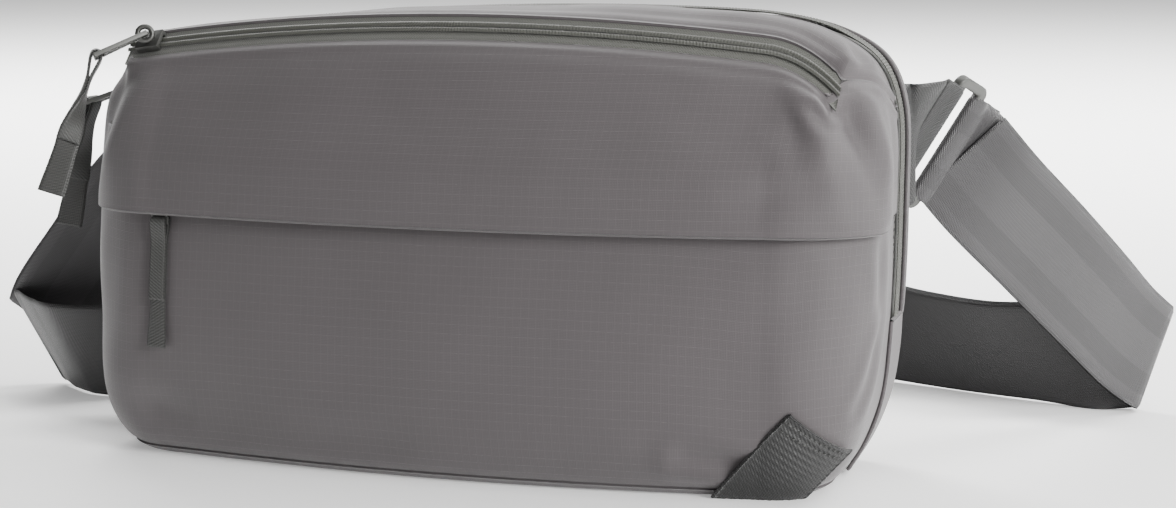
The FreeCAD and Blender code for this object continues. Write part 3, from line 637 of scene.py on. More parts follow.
def lining_material():
    n = Nodes("lining", Roughness=0.9, Sheen_Weight=0.5)
    loops = n.add("TexVoronoi")
    loops.inputs["Scale"].default_value = 700.0
    n.put(loops.inputs["Vector"], n.add("TexCoord").outputs["Object"])
    share = n.math("MULTIPLY", loops.outputs[0], n.noise(40.0, 3.0))
    n.colour(n.mix(share, rgb(0.16, 0.165, 0.17), rgb(0.34, 0.35, 0.36)))
    n.bump(loops.outputs[0], 0.0003, 0.7)


def board_material():
    n = Nodes("board", Roughness=0.8)
    fibres = n.noise(220.0, 5.0)
    n.colour(n.mix(fibres, rgb(0.02, 0.02, 0.02), rgb(0.06, 0.06, 0.058)))
    n.bump(fibres, 0.0002, 0.5)


def floor_material():
    n = Nodes("studio_floor", Roughness=0.85)
    n.colour(n.mix(n.noise(3.0, 2.0), rgb(0.90, 0.90, 0.90), rgb(0.92, 0.92, 0.92)))
    n.shader.inputs["Emission Color"].default_value = rgb(1.0, 1.0, 1.0)
    n.shader.inputs["Emission Strength"].default_value = FLOOR_GLOW


def make_materials():
    shell_material()
    tape_material()
    coil_material()
    metal_material()
    plastic_material()
    webbing_material("tab_webbing", rgb(0.040, 0.040, 0.038), 0.2, 0.0013, False)
    webbing_material("dark_webbing", DARK, 0.15, 0.0012, False)
    webbing_material("strap_webbing", STRAP, 0.18, 0.0008, True)
    # the strap's webbing at 0.4 of its brightness: painted shade for its inner face, which lies in the bag's shadow
    webbing_material("strap_painted_shade", scaled(STRAP, 0.40), 0.05, 0.0008, False)
    lining_material()
    board_material()
    floor_material()


# ---- Top zip geometry -------------------------------------------------------------------------
TOP_OUT = unit([0, -1, 1])
TOP_ACROSS = unit([0, 1, 1])
TOP_CENTRE = TOP_MID - TOP_OUT * TOP_ZIP_R
TAIL_X = 122.0            # the tape's right end turns down the corner from here
TAIL_DROP, TAIL_FORWARD = 9.0, 6.0


def top_zip_line(across, rise, count, half=TOP_ZIP_HALF):
    xs = np.linspace(-half, half, count)
    turn = np.arcsin(xs / TOP_ZIP_R)
    reach = TOP_ZIP_R + rise
    line = (TOP_CENTRE + TOP_ACROSS * across + np.outer(np.cos(turn) * reach, TOP_OUT)
            + np.outer(np.sin(turn) * reach, X_AXIS))
    tail = np.clip((xs - TAIL_X) / (TOP_ZIP_HALF - TAIL_X), 0, 1.2) ** 2
    line[:, 2] -= tail * TAIL_DROP
    line[:, 1] -= tail * TAIL_FORWARD
    return line


def zip_border(across):
    """One edge of the top zip, and the seam that goes on from its ends to the main zip."""
    middle = top_zip_line(across, 0.2, 240)
    axis_line = top_zip_line(0.0, 0.2, 240)
    ends = []
    for side, near, tip in ((-1, middle[0], axis_line[0]), (1, middle[-1], axis_line[-1])):
        foot = np.array(BODY.ray_cast(Vector((0, MAIN_FRONT_Y, SIDE_END_Z)), Vector((side, 0, 0)))[0])
        s = np.linspace(0, 1, 60)[:, None]
        seam = project(foot * (1 - s) + tip * s)
        seam += (tip - seam[-1]) * smooth(0.3, 1, s)
        join = smooth(0.84, 1, s) ** 2
        ends.append(seam + (near - tip) * join)
    return np.vstack([ends[0][:-1], middle, ends[1][::-1][1:]])


# ---- Fabric shells ----------------------------------------------------------------------------
COLS = 260


def stand_off(points):
    """How far the upper panel stands off the body above the hem."""
    height = points[..., 2]
    x = np.abs(points[..., 0])
    y = points[..., 1]
    front = np.where(points[..., 0] < 0, 1 - 0.92 * smooth(-50, -20, y), 1 - 0.86 * smooth(-34, 12, y))
    return FLAP_STAND * front * (1 - smooth(FLAP_ROOT_Z - 4, FLAP_FADE_Z, height)) * (1 - 0.1 * smooth(100, 150, x))


def hem_line():
    line = level_line(HEM_Z, -999, MAIN_FRONT_Y, COLS)
    rise = HEM_RISE * smooth(-20, MAIN_FRONT_Y, line[:, 1])
    line[:, 2] += rise * (line[:, 0] > 0)
    return line


def make_upper_shell():
    hem = hem_line()
    root = level_line(FLAP_ROOT_Z, -999, MAIN_FRONT_Y, COLS)
    edge = resample(zip_border(-TOP_TAPE_HALF), COLS)
    low = patch(hem, root, 22)
    high = patch(root, edge, 64, 14.0)
    grid = np.vstack([low, high[1:]])
    base = normals_of(grid)
    near_edge = np.linalg.norm(grid - edge[None], axis=-1)
    calm = smooth(0, 12, near_edge)
    push = stand_off(grid) + (fold_depth(grid) + slack(grid, 1)) * calm
    rim = 0.9 * bell(near_edge - 3.2, 2.2)
    grid = grid + base * (push + rim)[..., None]
    relax(grid, 2)
    normals = normals_of(grid)
    uv = cloth_uv(grid)
    split = 21
    inside = np.abs(grid[split, :, 0]) <= FLAP_HALF
    first, last = np.argmax(inside), len(inside) - 1 - np.argmax(inside[::-1])
    finish_piece(
        sheet_mesh("front_upper_cover", grid[split:], FABRIC_T, uv[split:], normals[split:],
                   (False, True, True, True), True),
        "shell_fabric", "bag_body", stands_for=["front_upper_panel"])
    parts = (("hem_left", 0, first + 1, (True, False, True, False)),
             ("hem_right", last, COLS, (True, False, False, True)))
    for name, a, b, rolled in parts:
        piece = sheet_mesh(name, grid[:split + 1, a:b], FABRIC_T, uv[:split + 1, a:b],
                           normals[:split + 1, a:b], rolled, True)
        finish_piece(piece, "shell_fabric", "bag_body")
    cut = (slice(0, split + 1), slice(first, last + 1))
    flap = sheet_mesh("storm_flap", grid[cut], FABRIC_T, uv[cut], normals[cut],
                      (True, False, False, False), True)
    finish_piece(flap, "shell_fabric", stands_for=["pocket_flap"])
    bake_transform(flap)


def make_crown():
    low = resample(zip_border(TOP_TAPE_HALF), COLS)
    high = upright_line(MAIN_FRONT_Y, SIDE_END_Z, COLS)
    grid = patch(low, high, 40, 12.0)
    base = normals_of(grid)
    low_gap = np.linalg.norm(grid - low[None], axis=-1)
    high_gap = np.linalg.norm(grid - high[None], axis=-1)
    calm = smooth(0, 10, np.minimum(low_gap, high_gap))
    puff = 1.4 * smooth(0, 14, low_gap) * smooth(0, 16, high_gap)
    waves = 0.8 * np.sin(grid[..., 0] / 21.0) * wander(grid, 60.0, 9)
    push = puff + (fold_depth(grid) + slack(grid, 2, 0.8) + waves) * calm
    rim = 0.9 * bell(low_gap - 3.0, 2.0) + 0.6 * bell(high_gap - 3.0, 2.0)
    grid = relax(grid + base * (push + rim)[..., None], 2)
    finish_piece(sheet_mesh("crown_cover", grid, FABRIC_T), "shell_fabric", "bag_body",
                 stands_for=["top_panel"])


def make_lower_front():
    low = level_line(BASE_Z, -999, MAIN_FRONT_Y, COLS)
    high = level_line(POCKET_EDGE_Z, -999, MAIN_FRONT_Y, COLS)
    grid = patch(low, high, 74)
    base = normals_of(grid)
    z = grid[..., 2]
    calm = smooth(BASE_Z, BASE_Z + 8, z) * (1 - smooth(HEM_Z - 5, HEM_Z + 2, z))
    corner = smooth(FRONT_Y + 6, FRONT_Y + 34, grid[..., 1])
    sag = 1.6 * bell(z - 46, 34) * (1 - corner)
    push = (fold_depth(grid) + slack(grid, 4) + sag) * calm
    push -= 0.8 * bell(z - BASE_Z, 1.8)
    grid = relax(grid + base * push[..., None], 2)
    piece = sheet_mesh("front_lower_cover", grid, FABRIC_T, rolled=(False, True, True, True))
    finish_piece(piece, "shell_fabric", "bag_body",
                 stands_for=["front_pocket_panel", "side_panel_left", "side_panel_right"])
    low = level_line(POCKET_FACING_Z, -999, MAIN_FRONT_Y, COLS)
    high = level_line(FLAP_ROOT_Z + 12, -999, MAIN_FRONT_Y, COLS)
    facing = patch(low, high, 12)
    facing -= normals_of(facing) * 0.4
    finish_piece(sheet_mesh("pocket_zip_facing", facing, 1.0), "shell_fabric", "bag_body")


def rear_upright(z):
    """How much the padded back swells at a height: none near the hinge and none at the top."""
    return smooth(HINGE_Z + 8, HINGE_Z + 18, z) * (1 - smooth(150, 164, z))


def make_back():
    low = level_line(HINGE_Z, MAIN_REAR_Y, 999, COLS)
    high = upright_line(MAIN_REAR_Y, HINGE_Z, COLS)
    grid = patch(low, high, 84, 14.0)
    base = normals_of(grid)
    if base[42, COLS // 2, 1] < 0:
        base = -base
    x, z = grid[..., 0], grid[..., 2]
    pad = rear_upright(z) * (1 - smooth(128, 142, np.abs(x)))
    channels = sum(bell(x - at, 2.6) for at in (-48, 48))
    high_gap = np.linalg.norm(grid - high[None], axis=-1)
    calm = smooth(0, 10, high_gap)
    border = bell(z - HINGE_Z - 8, 2.0) * (np.abs(x) < 140)
    push = pad * (2.6 - 2.4 * channels) - 0.8 * border + slack(grid, 6) * calm
    push += 0.6 * bell(high_gap - 3.0, 2.0)
    grid = relax(grid + base * push[..., None], 2)
    obj = sheet_mesh("back_cover", grid, FABRIC_T)
    finish_piece(obj, "shell_fabric", stands_for=["back_panel_shell"])
    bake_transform(obj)
    low = level_line(BASE_Z, MAIN_FRONT_Y, 999, COLS)
    high = level_line(HINGE_Z, MAIN_FRONT_Y, 999, COLS)
    grid = patch(low, high, 40)
    base = normals_of(grid)
    z = grid[..., 2]
    calm = smooth(BASE_Z, BASE_Z + 8, z) * (1 - smooth(HINGE_Z - 8, HINGE_Z, z))
    push = (fold_depth(grid) + slack(grid, 7)) * calm - 0.8 * bell(z - BASE_Z, 1.8)
    grid = relax(grid + base * push[..., None], 2)
    finish_piece(sheet_mesh("back_lower_cover", grid, FABRIC_T, rolled=(False, True, True, True)),
                 "shell_fabric", "bag_body", stands_for=["back_lower_panel"])


def make_base():
    front = level_line(BASE_Z, -999, MAIN_FRONT_Y, COLS)
    rear = level_line(BASE_Z, MAIN_FRONT_Y, 999, COLS)[::-1]
    ring = np.vstack([front, rear[1:-1]])
    count = len(ring)
    inner = np.stack([np.clip(ring[:, 0], -100, 100), np.zeros(count), np.full(count, 0.0)], 1)
    s = np.linspace(0, 1, 30)[:, None, None]
    grid = project(ring[None] * (1 - s) + inner[None] * s)
    grid += (ring - grid[0])[None] * (1 - smooth(0, 0.3, s))
    grid = np.concatenate([grid, grid[:, :1]], 1)[::-1]
    grid[..., 2] = np.maximum(grid[..., 2], 0.3)
    finish_piece(sheet_mesh("base_cover", grid, FABRIC_T, rolled=(False,) * 4), "shell_fabric",
                 "bag_body", stands_for=["base_panel"])


# ---- Zips -------------------------------------------------------------------------------------
COIL_PITCH = 1.3


def between(a, b, count):
    s = np.linspace(0, 1, count)[:, None, None]
    return a[None] * (1 - s) + b[None] * s


def rib_grid(inner, outer, height, count=8):
    """A rounded rib between two lines, ridged across like a coil under its tape."""
    grid = between(outer, inner, count)
    out = normals_of(grid)
    s = np.linspace(0, 1, count)[:, None]
    run = lengths(inner)[None, :]
    round_top = np.sin(math.pi * np.clip(0.12 + 0.80 * s, 0, 1)) ** 0.7
    ridge = 0.5 + 0.5 * np.cos(2 * math.pi * (run / COIL_PITCH + 0.25 * s))
    lift = height * round_top - 0.30 * ridge * round_top
    return grid + out * lift[..., None]


def make_zip(name, line_at, length, half, coil_half, height, sides, sink, outward):
    """Tape and rib of each half of a zip.  line_at(across, count) gives a line on the bag."""
    count = int(length / (COIL_PITCH / 4))
    for side, body, tape_for, coil_for in sides:
        tape_line = [line_at(side * w, 220) for w in (half, 0.15)]
        pair = tape_line if side < 0 else tape_line[::-1]
        grid = between(pair[0], pair[1], 7)
        out = normals_of(grid)
        if (out[3, 110] @ outward(grid[3, 110])) < 0:
            grid = grid[::-1]
            out = normals_of(grid)
        finish_piece(sheet_mesh(name + "_tape_" + tape_for[0], grid - out * sink, 0.7,
                                rolled=(False,) * 4), "zip_tape", body, stands_for=tape_for[1])
        fine = [line_at(side * w, count) for w in (coil_half, 0.3)]
        grid = rib_grid(fine[1], fine[0], height)
        out = normals_of(between(fine[0], fine[1], 8))
        if (out[3, count // 2] @ outward(grid[3, count // 2])) < 0:
            grid = between(fine[0], fine[1], 8)
            flat = normals_of(grid)
            lifted = rib_grid(fine[1], fine[0], height) - grid
            grid = (grid - lifted)[::-1]
        finish_piece(sheet_mesh(name + "_rib_" + coil_for[0], grid, 0.5, rolled=(False,) * 4),
                     "zip_coil", body, stands_for=coil_for[1])


def away_from_core(point):
    return point - np.array([np.clip(point[0], -CORE_HALF, CORE_HALF), CORE_Y, CORE_Z])


def make_main_zip():
    def line_at(across, count):
        return upright_line(MAIN_ZIP_Y + across, HINGE_Z - 3, count)

    sides = ((-1, "bag_body", ("front", ["main_zip_tape_front"]), ("front", ["main_zip_coil_front"])),
             (1, "back_panel", ("rear", ["main_zip_tape_rear"]), ("rear", ["main_zip_coil_rear"])))
    make_zip("main_zip", line_at, 560, MAIN_TAPE_HALF + TUCK, 3.6, 1.5, sides, 1.1, away_from_core)


def make_top_zip():
    def line_at(across, count):
        return top_zip_line(across, 0.0, count, TOP_ZIP_HALF + TAPE_RUN_ON)

    sides = ((-1, "bag_body", ("front", ["top_zip_tape"]), ("front", ["top_zip_coil"])),
             (1, "bag_body", ("rear", ()), ("rear", ())))
    make_zip("top_zip", line_at, 300, TOP_TAPE_HALF + TUCK, 2.6, 1.5, sides, 0.4, lambda p: TOP_OUT)


def make_pocket_zip():
    def line_at(across, count):
        xs = np.linspace(-POCKET_ZIP_HALF, POCKET_ZIP_HALF, count)
        radius = FRONT_AXIS_Y + 52.4
        return np.stack([xs, FRONT_AXIS_Y - np.sqrt(radius ** 2 - xs ** 2),
                         np.full(count, POCKET_ZIP_Z + across)], 1)

    sides = ((-1, "bag_body", ("lower", ["pocket_zip_tape"]), ("lower", ["pocket_zip_coil"])),
             (1, "bag_body", ("upper", ()), ("upper", ())))
    make_zip("pocket_zip", line_at, 264, 7.0, 2.4, 1.4, sides, 0.0, lambda p: -Y_AXIS)


STITCH_PITCH = 3.0


def stitch_row(name, line, out, body, mat="dark_webbing", pitch=STITCH_PITCH, size=(1.9, 0.55)):
    """Sewn stitches along a line: short threads that dip into the fabric at both ends."""
    count = max(2, int(lengths(line)[-1] / pitch))
    spots = resample(line, count)
    along = unit(np.gradient(spots, axis=0))
    outs = np.broadcast_to(out(spots) if callable(out) else out, spots.shape)
    across = unit(np.cross(along, outs))
    length, width = size
    verts, faces = [], []
    for p, a, c, o in zip(spots, along, across, outs):
        start = len(verts)
        for s in (-1, -0.5, 0.5, 1):
            reach = 0.35 if abs(s) == 1 else 1.0
            lift = -0.12 if abs(s) == 1 else 0.3
            for turn in range(6):
                t = turn * math.pi / 3
                ring = c * (width / 2 * reach * math.cos(t)) + o * (width / 2 * reach * math.sin(t) + lift)
                verts.append(p + a * (s * length / 2) + ring)
        for j in range(3):
            for i in range(6):
                k = (i + 1) % 6
                faces.append((start + j * 6 + i, start + j * 6 + k,
                              start + (j + 1) * 6 + k, start + (j + 1) * 6 + i))
        faces.append(tuple(start + i for i in range(6))[::-1])
        faces.append(tuple(start + 18 + i for i in range(6)))
    uv = np.zeros((len(verts), 2))
    return finish_piece(new_mesh(name, verts, faces, uv), mat, body)


def surface_out(points):
    core = np.stack([np.clip(points[:, 0], -CORE_HALF, CORE_HALF),
                     np.full(len(points), CORE_Y), np.full(len(points), CORE_Z)], 1)
    normals = []
    for p, c in zip(points, core):
        hit = BODY.find_nearest(Vector(p))
        n = np.array(hit[1])
        normals.append(n if n @ (p - c) > 0 else -n)
    return np.array(normals)


def make_stitches():
    for across, body, tag in ((-7.2, "bag_body", "front"), (7.2, "back_panel", "rear")):
        line = upright_line(MAIN_ZIP_Y + across, HINGE_Z, 900)
        stitch_row("main_zip_stitch_" + tag, line - surface_out(line) * 0.9, surface_out, body)


# ---- Webbing ----------------------------------------------------------------------------------
def ribbon(name, centre, ups, width, thick, flare=0.0, across=22, shift=0.0):
    """Webbing along a dense line of points, with rounded, slightly thicker edges."""
    run = unit(np.gradient(centre, axis=0))
    ups = unit(ups - run * np.sum(ups * run, 1, keepdims=True))
    face = np.cross(run, ups)
    centre = centre + face * shift
    along = lengths(centre)
    w = np.linspace(-1, 1, across)
    half_t = thick / 2 * (1 + 0.10 * np.abs(w) ** 6) * np.sqrt(np.clip(1 - np.abs(w) ** 30, 0, 1))
    half_w = (width / 2 + flare * smooth(0.80, 1.0, along / along[-1]))[:, None]
    count = len(centre)
    rings = []
    for sign in (1, -1):
        at = centre[:, None] + ups[:, None] * (half_w * w)[..., None]
        rings.append(at + face[:, None] * (sign * half_t)[None, :, None])
    loop = np.concatenate([rings[0], rings[1][:, ::-1]], 1)
    u = np.concatenate([w, w[::-1]]) * width / 2
    uv = np.stack(np.broadcast_arrays(u[None, :], along[:, None]), -1)
    ring = loop.shape[1]
    faces = []
    for j in range(count - 1):
        for i in range(ring):
            k = (i + 1) % ring
            faces.append((j * ring + i, (j + 1) * ring + i, (j + 1) * ring + k, j * ring + k))
    faces.append(tuple(range(ring)))
    faces.append(tuple((count - 1) * ring + i for i in range(ring))[::-1])
    return new_mesh(name, loop.reshape(-1, 3), faces, uv.reshape(-1, 2))


def paint_strap_shade(obj, across=22):
    """The strap's inner face gets a darker copy of its webbing: painted shade for the run that lies in the bag's
    shadow.
    """
    obj.data.materials.append(MATERIALS["strap_painted_shade"])
    around = 2 * across
    spans = (len(obj.data.polygons) - 2) // around
    inner = [int(across <= i < around - 1) for i in range(around)] * spans + [0, 0]
    obj.data.polygons.foreach_set("material_index", inner)


def smooth_line(stations, step=1.6):
    """Dense centre line and edge directions through stations of six numbers."""
    dense = catmull(np.array(stations, float), 24)
    count = max(8, int(lengths(dense[:, :3])[-1] / step))
    run = lengths(dense[:, :3])
    at = np.linspace(0, run[-1], count)
    dense = np.stack([np.interp(at, run, dense[:, k]) for k in range(6)], 1)
    return dense[:, :3], dense[:, 3:]


def station(point, up):
    return [*point, *unit(up)]


FLOOR_AIR = 0.4
FOLD_R = 2.2
ADJUSTER_LIFT = 3.0


def on_floor(x, y, up, lift=0.0):
    up = unit(up)
    half = WEB_W / 2 * up[2] + WEB_T * math.sqrt(max(0.0, 1 - up[2] ** 2))
    return np.array([x, y, half + FLOOR_AIR + lift]), up


RING_C = np.array([SIDE_X + 7.0, BACK_Y + 24.0, BODY_H - 56.0])
RING_UP = unit([0.50, 0.15, 0.85])
WING_ROOT = np.array([SIDE_X + 1.5, BACK_Y - 6.0, BODY_H - 54.0])
RIGHT_FOLD = on_floor(259.5, 178.0, [0.28, 0.30, 0.91], FOLD_R / 2)
LEFT_FOLD = on_floor(-256.0, 80.0, [-0.45, -0.14, 0.88], FOLD_R / 2)
RIGHT_DROP = [
    (np.array([195.0, 103.0, 106.0]), [0.49, 0.15, 0.86]),
    (np.array([214.0, 125.0, 82.0]), [0.44, 0.15, 0.89]),
    (np.array([234.0, 148.0, 56.0]), [0.37, 0.19, 0.91]),
    (np.array([249.0, 166.0, 36.0]), [0.31, 0.25, 0.91]),
]
FLOOR_RUN = [
    on_floor(240.0, 170.5, [0.18, 0.10, 0.97]),
    on_floor(216.0, 170.0, [0.06, -0.22, 0.97]),
    on_floor(191.0, 174.5, [0.0, -0.36, 0.93]),
    on_floor(160.0, 187.5, [0.0, -0.32, 0.94]),
    on_floor(132.0, 199.0, [0.0, -0.20, 0.98], 1.0),
    on_floor(102.0, 205.0, [0, 0, 1], ADJUSTER_LIFT),
    on_floor(-18.0, 205.0, [0, 0, 1], ADJUSTER_LIFT),
    on_floor(-60.0, 197.0, [0, 0, 1], 1.0),
    on_floor(-98.0, 177.0, [0, 0, 1]),
    on_floor(-131.0, 147.0, [0, 0, 1]),
    on_floor(-158.0, 112.0, [0.0, -0.05, 1.0]),
    on_floor(-182.0, 78.0, [-0.10, -0.22, 0.97]),
    on_floor(-203.0, 56.0, [-0.15, -0.40, 0.90]),
    on_floor(-224.0, 54.5, [-0.28, -0.34, 0.89]),
    on_floor(-241.0, 65.0, [-0.38, -0.22, 0.89]),
]
LEFT_RISE = [
    (np.array([-246.0, 79.0, 38.0]), [-0.46, -0.14, 0.87]),
    (np.array([-227.0, 79.0, 63.0]), [-0.48, -0.14, 0.86]),
    (np.array([-207.0, 79.0, 89.0]), [-0.50, -0.15, 0.85]),
]
RING_SLOT, RING_BAR, RING_T = 11.0, 5.0, 4.6


def ring_frame(side, towards):
    """Centre, direction of travel, upward edge and face of a strap ring."""
    flip = np.array([side, 1, 1])
    centre, up, root = RING_C * flip, RING_UP * flip, WING_ROOT * flip
    run = unit(unit(centre - root) + unit(towards - centre))
    up = unit(up - run * (up @ run))
    return centre, run, up, np.cross(up, run), root


def bar_wrap(bar, run, up, face, reach, side, tail=22.0, lead=10.0):
    """Stations of webbing round a bar: its sewn tail on one side, its way on from the other."""
    return [station(bar + run * tail - face * side * 1.6, up),
            station(bar + run * tail * 0.4 - face * side * 2.2, up),
            station(bar + run * 2 - face * side * reach, up),
            station(bar - run * reach * 0.95, up),
            station(bar + run * 2 + face * side * reach, up),
            station(bar + run * lead + face * side * 0.9, up)]


def turn_back(at, before, after):
    """Stations of a flat fold, from the way in to the way out."""
    point, up = at
    inward, outward = unit(point - before), unit(after - point)
    tip = unit(inward - outward)
    tip = unit(tip - np.array(up) * (tip @ up))
    side = unit(np.cross(up, tip))
    if side @ (before - after) < 0:
        side = -side
    centre = point - tip * FOLD_R
    stations = []
    for turn in (90, 50, 0, -50, -90):
        a = math.radians(turn)
        stations.append(station(centre + tip * (FOLD_R * 1.6 * math.cos(a)) + side * (FOLD_R * math.sin(a)), up))
    return stations


def settle(piece):
    """Gives a strap piece its own copy of its mesh."""
    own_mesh(piece)


def make_strap():
    centre, run, up, face, _ = ring_frame(1, RIGHT_DROP[0][0])
    bar = centre + run * (RING_SLOT / 2 + RING_BAR / 2)
    reach = RING_T / 2 + WEB_AIR + WEB_T / 2
    path = bar_wrap(bar, run, up, face, reach, -1)
    path += [station(*s) for s in RIGHT_DROP]
    path += turn_back(RIGHT_FOLD, RIGHT_DROP[-1][0], FLOOR_RUN[0][0])
    first_floor = len(path)
    path += [station(*s) for s in FLOOR_RUN]
    path += turn_back(LEFT_FOLD, FLOOR_RUN[-1][0], LEFT_RISE[0][0])
    path += [station(*s) for s in LEFT_RISE]
    centre, run, up, face, _ = ring_frame(-1, LEFT_RISE[-1][0])
    bar = centre + run * (RING_SLOT / 2 + RING_BAR / 2)
    path += bar_wrap(bar, run, up, face, reach, -1)[::-1]
    line, ups = smooth_line(path)
    strap = ribbon("strap_cover", line, ups, WEB_W, WEB_T)
    finish_piece(strap, "strap_webbing", "strap", stands_for=["strap_webbing"])
    doubled = path[5:first_floor + 7]
    line, ups = smooth_line(doubled)
    free = ribbon("strap_free_end", line, ups, WEB_W, WEB_T, shift=WEB_T + WEB_AIR)
    finish_piece(free, "strap_webbing", "strap", stands_for=["strap_return"])
    # the inner faces take the darker webbing copy, which is painted shade
    for piece in (strap, free):
        paint_strap_shade(piece)
        settle(piece)


def make_wings():
    for name, side, towards in (("right", 1, RIGHT_DROP[0][0]), ("left", -1, LEFT_RISE[-1][0])):
        centre, run, up, face, root = ring_frame(side, towards)
        bar = centre - run * (RING_SLOT / 2 + RING_BAR / 2)
        reach = RING_T / 2 + WEB_AIR + WEB_T / 2
        inside = root - [side * 4.0, 8.0, 0]
        stations = [station(inside, Z_AXIS), station(root, Z_AXIS)]
        wrap = bar_wrap(bar, -run, up, face, reach, 1, tail=11.0, lead=8.0)[::-1]
        line, ups = smooth_line(stations + wrap)
        wing = ribbon("wing_cover_" + name, line, ups, WEB_W, WEB_T)
        finish_piece(wing, "dark_webbing", stands_for=["wing_" + name])
        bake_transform(wing)


# ---- Pull tabs --------------------------------------------------------------------------------
def make_tab(name, node, body, pivot, axis, run, end_up, length, width, loop_r, thick=1.2):
    """A folded webbing tab: round a bar, sewn together, hanging to a flared end."""
    pivot, axis, run, end_up = (np.array(v, float) for v in (pivot, axis, run, end_up))
    up = unit(axis - run * (axis @ run))
    face = unit(np.cross(run, up))
    end_up = unit(end_up - run * (end_up @ run))
    turns = []
    for side, spots in ((1, (0.62, 0.45, 0.28, 0.16)), (-1, (0.16, 0.28, 0.45, 0.62, 0.80, 1.0))):
        rows = []
        for s in spots:
            twist = smooth(0.2, 0.75, s)
            edge = unit(up * (1 - twist) + end_up * twist)
            stand = (thick * 0.56 + 0.05) * side
            rows.append(station(pivot + run * (length * s) + np.cross(run, edge) * stand, edge))
        turns.append(rows)
    loop = []
    for turn in (75, 130, 180, 230, 285):
        a = math.radians(turn)
        loop.append(station(pivot + (run * math.cos(a) + face * math.sin(a)) * (loop_r + thick / 2), up))
    line, ups = smooth_line(turns[0] + loop + turns[1], 0.9)
    tab = ribbon(name, line, ups, width, thick, flare=0.8, across=12)
    return finish_piece(tab, "tab_webbing", body, stands_for=[node])


def make_tabs():
    make_tab("top_tab_cover", "top_pull_tab", "top_tab", [-158.0282, -33.4435, 166.8655],
             [-0.481808, 0.859446, -0.170917], unit([-0.20, -0.33, -0.92]), [0.956, 0.292, 0],
             60.0, 10.0, 1.55)
    make_tab("main_tab_cover", "main_pull_tab", "main_tab", [-194.7883, 27, 142.517], [0, 1, 0],
             unit([-0.24, 0, -0.97]), [0.90, 0.43, 0], 58.0, 10.0, 1.55)
    lean = math.radians(6)
    out = np.array([-0.171954, -0.985105, 0])
    make_tab("pocket_tab_cover", "pocket_pull_tab", "pocket_tab", [-124.6189, -45.137, 100.7],
             [0.985105, -0.171954, 0], -Z_AXIS * math.cos(lean) + out * math.sin(lean),
             [0.985105, -0.171954, 0], 52.0, 8.0, 1.3, 0.9)


# ---- Hardware ---------------------------------------------------------------------------------
def rounded_copy(node, name, mat, body, width, segments=2):
    """A CAD piece with its edges rounded, as moulding and casting leave them."""
    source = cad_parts[node]
    mesh = source.data.copy()
    obj = bpy.data.objects.new(name, mesh)
    bpy.context.scene.collection.objects.link(obj)
    bm = bmesh.new()
    bm.from_mesh(mesh)
    bmesh.ops.remove_doubles(bm, verts=bm.verts, dist=1e-6)
    bmesh.ops.dissolve_limit(bm, angle_limit=math.radians(4), verts=bm.verts, edges=bm.edges)
    sharp = [e for e in bm.edges if len(e.link_faces) == 2 and e.calc_face_angle(0) > math.radians(35)]
    bmesh.ops.bevel(bm, geom=sharp, offset=width * MM, segments=segments, affect="EDGES",
                    profile=0.6, clamp_overlap=True)
    bmesh.ops.triangulate(bm, faces=[f for f in bm.faces if len(f.verts) > 4])
    bm.to_mesh(mesh)
    bm.free()
    mesh.polygons.foreach_set("use_smooth", [True] * len(mesh.polygons))
    mesh.set_sharp_from_angle(angle=math.radians(50))
    return finish_piece(obj, mat, body, stands_for=[node])


def make_hardware():
    for node, body, mat, width in (
            ("top_slider", "top_slider", "slider_metal", 0.35),
            ("main_slider", "main_slider", "slider_metal", 0.35),
            ("pocket_slider", "pocket_slider", "slider_metal", 0.25),
            ("top_pull", "top_pull", "moulded_plastic", 0.35),
            ("main_pull", "main_pull", "moulded_plastic", 0.35),
            ("strap_adjuster", "adjuster", "moulded_plastic", 0.7),
            ("strap_ring_left", "strap", "moulded_plastic", 1.3),
            ("strap_ring_right", "strap", "moulded_plastic", 1.3)):
        rounded_copy(node, node + "_body", mat, body, width, 3 if width > 0.6 else 2)


# ---- Padding ----------------------------------------------------------------------------------
def make_pad(node, body, radius, crown):
    """Foam in its lining: rounded edges, faces that swell, and a sewn edge half way through."""
    low, high = (np.array(v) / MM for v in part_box(node))
    size = high - low
    radius = min(radius, size.min() * 0.45)
    bm = bmesh.new()
    bmesh.ops.create_cube(bm, size=2.0)
    bmesh.ops.subdivide_edges(bm, edges=bm.edges, cuts=20, use_grid_fill=True)
    unit_points = np.array([v.co for v in bm.verts])
    thin = int(np.argmin(size))
    others = [k for k in range(3) if k != thin]
    points = unit_points * (size / 2)
    inner = np.clip(points, -size / 2 + radius, size / 2 - radius)
    out = inner + unit(points - inner + 1e-9) * radius * (np.abs(points - inner).max(1, keepdims=True) > 1e-6)
    edge = np.abs(unit_points[:, others]).max(1)
    full = 1 - smooth(0.55, 1.0, edge)
    out[:, thin] *= 1 - crown * (1 - full) / size[thin] * 2
    seam = bell(unit_points[:, thin], 0.10) * smooth(0.97, 1.0, edge)
    for k in others:
        out[:, k] -= np.sign(out[:, k]) * seam * 0.5 * (np.abs(unit_points[:, k]) > 0.97)
    out += unit(out) * (wander(out + low, 24.0, 5) * 0.25 - 0.25)[:, None]
    middle = (low + high) / 2
    for v, p in zip(bm.verts, out + middle):
        v.co = p * MM
    mesh = bpy.data.meshes.new(node + "_cover")
    bm.to_mesh(mesh)
    bm.free()
    mesh.polygons.foreach_set("use_smooth", [True] * len(mesh.polygons))
    obj = bpy.data.objects.new(node + "_cover", mesh)
    bpy.context.scene.collection.objects.link(obj)
    finish_piece(obj, "lining", body, stands_for=[node])


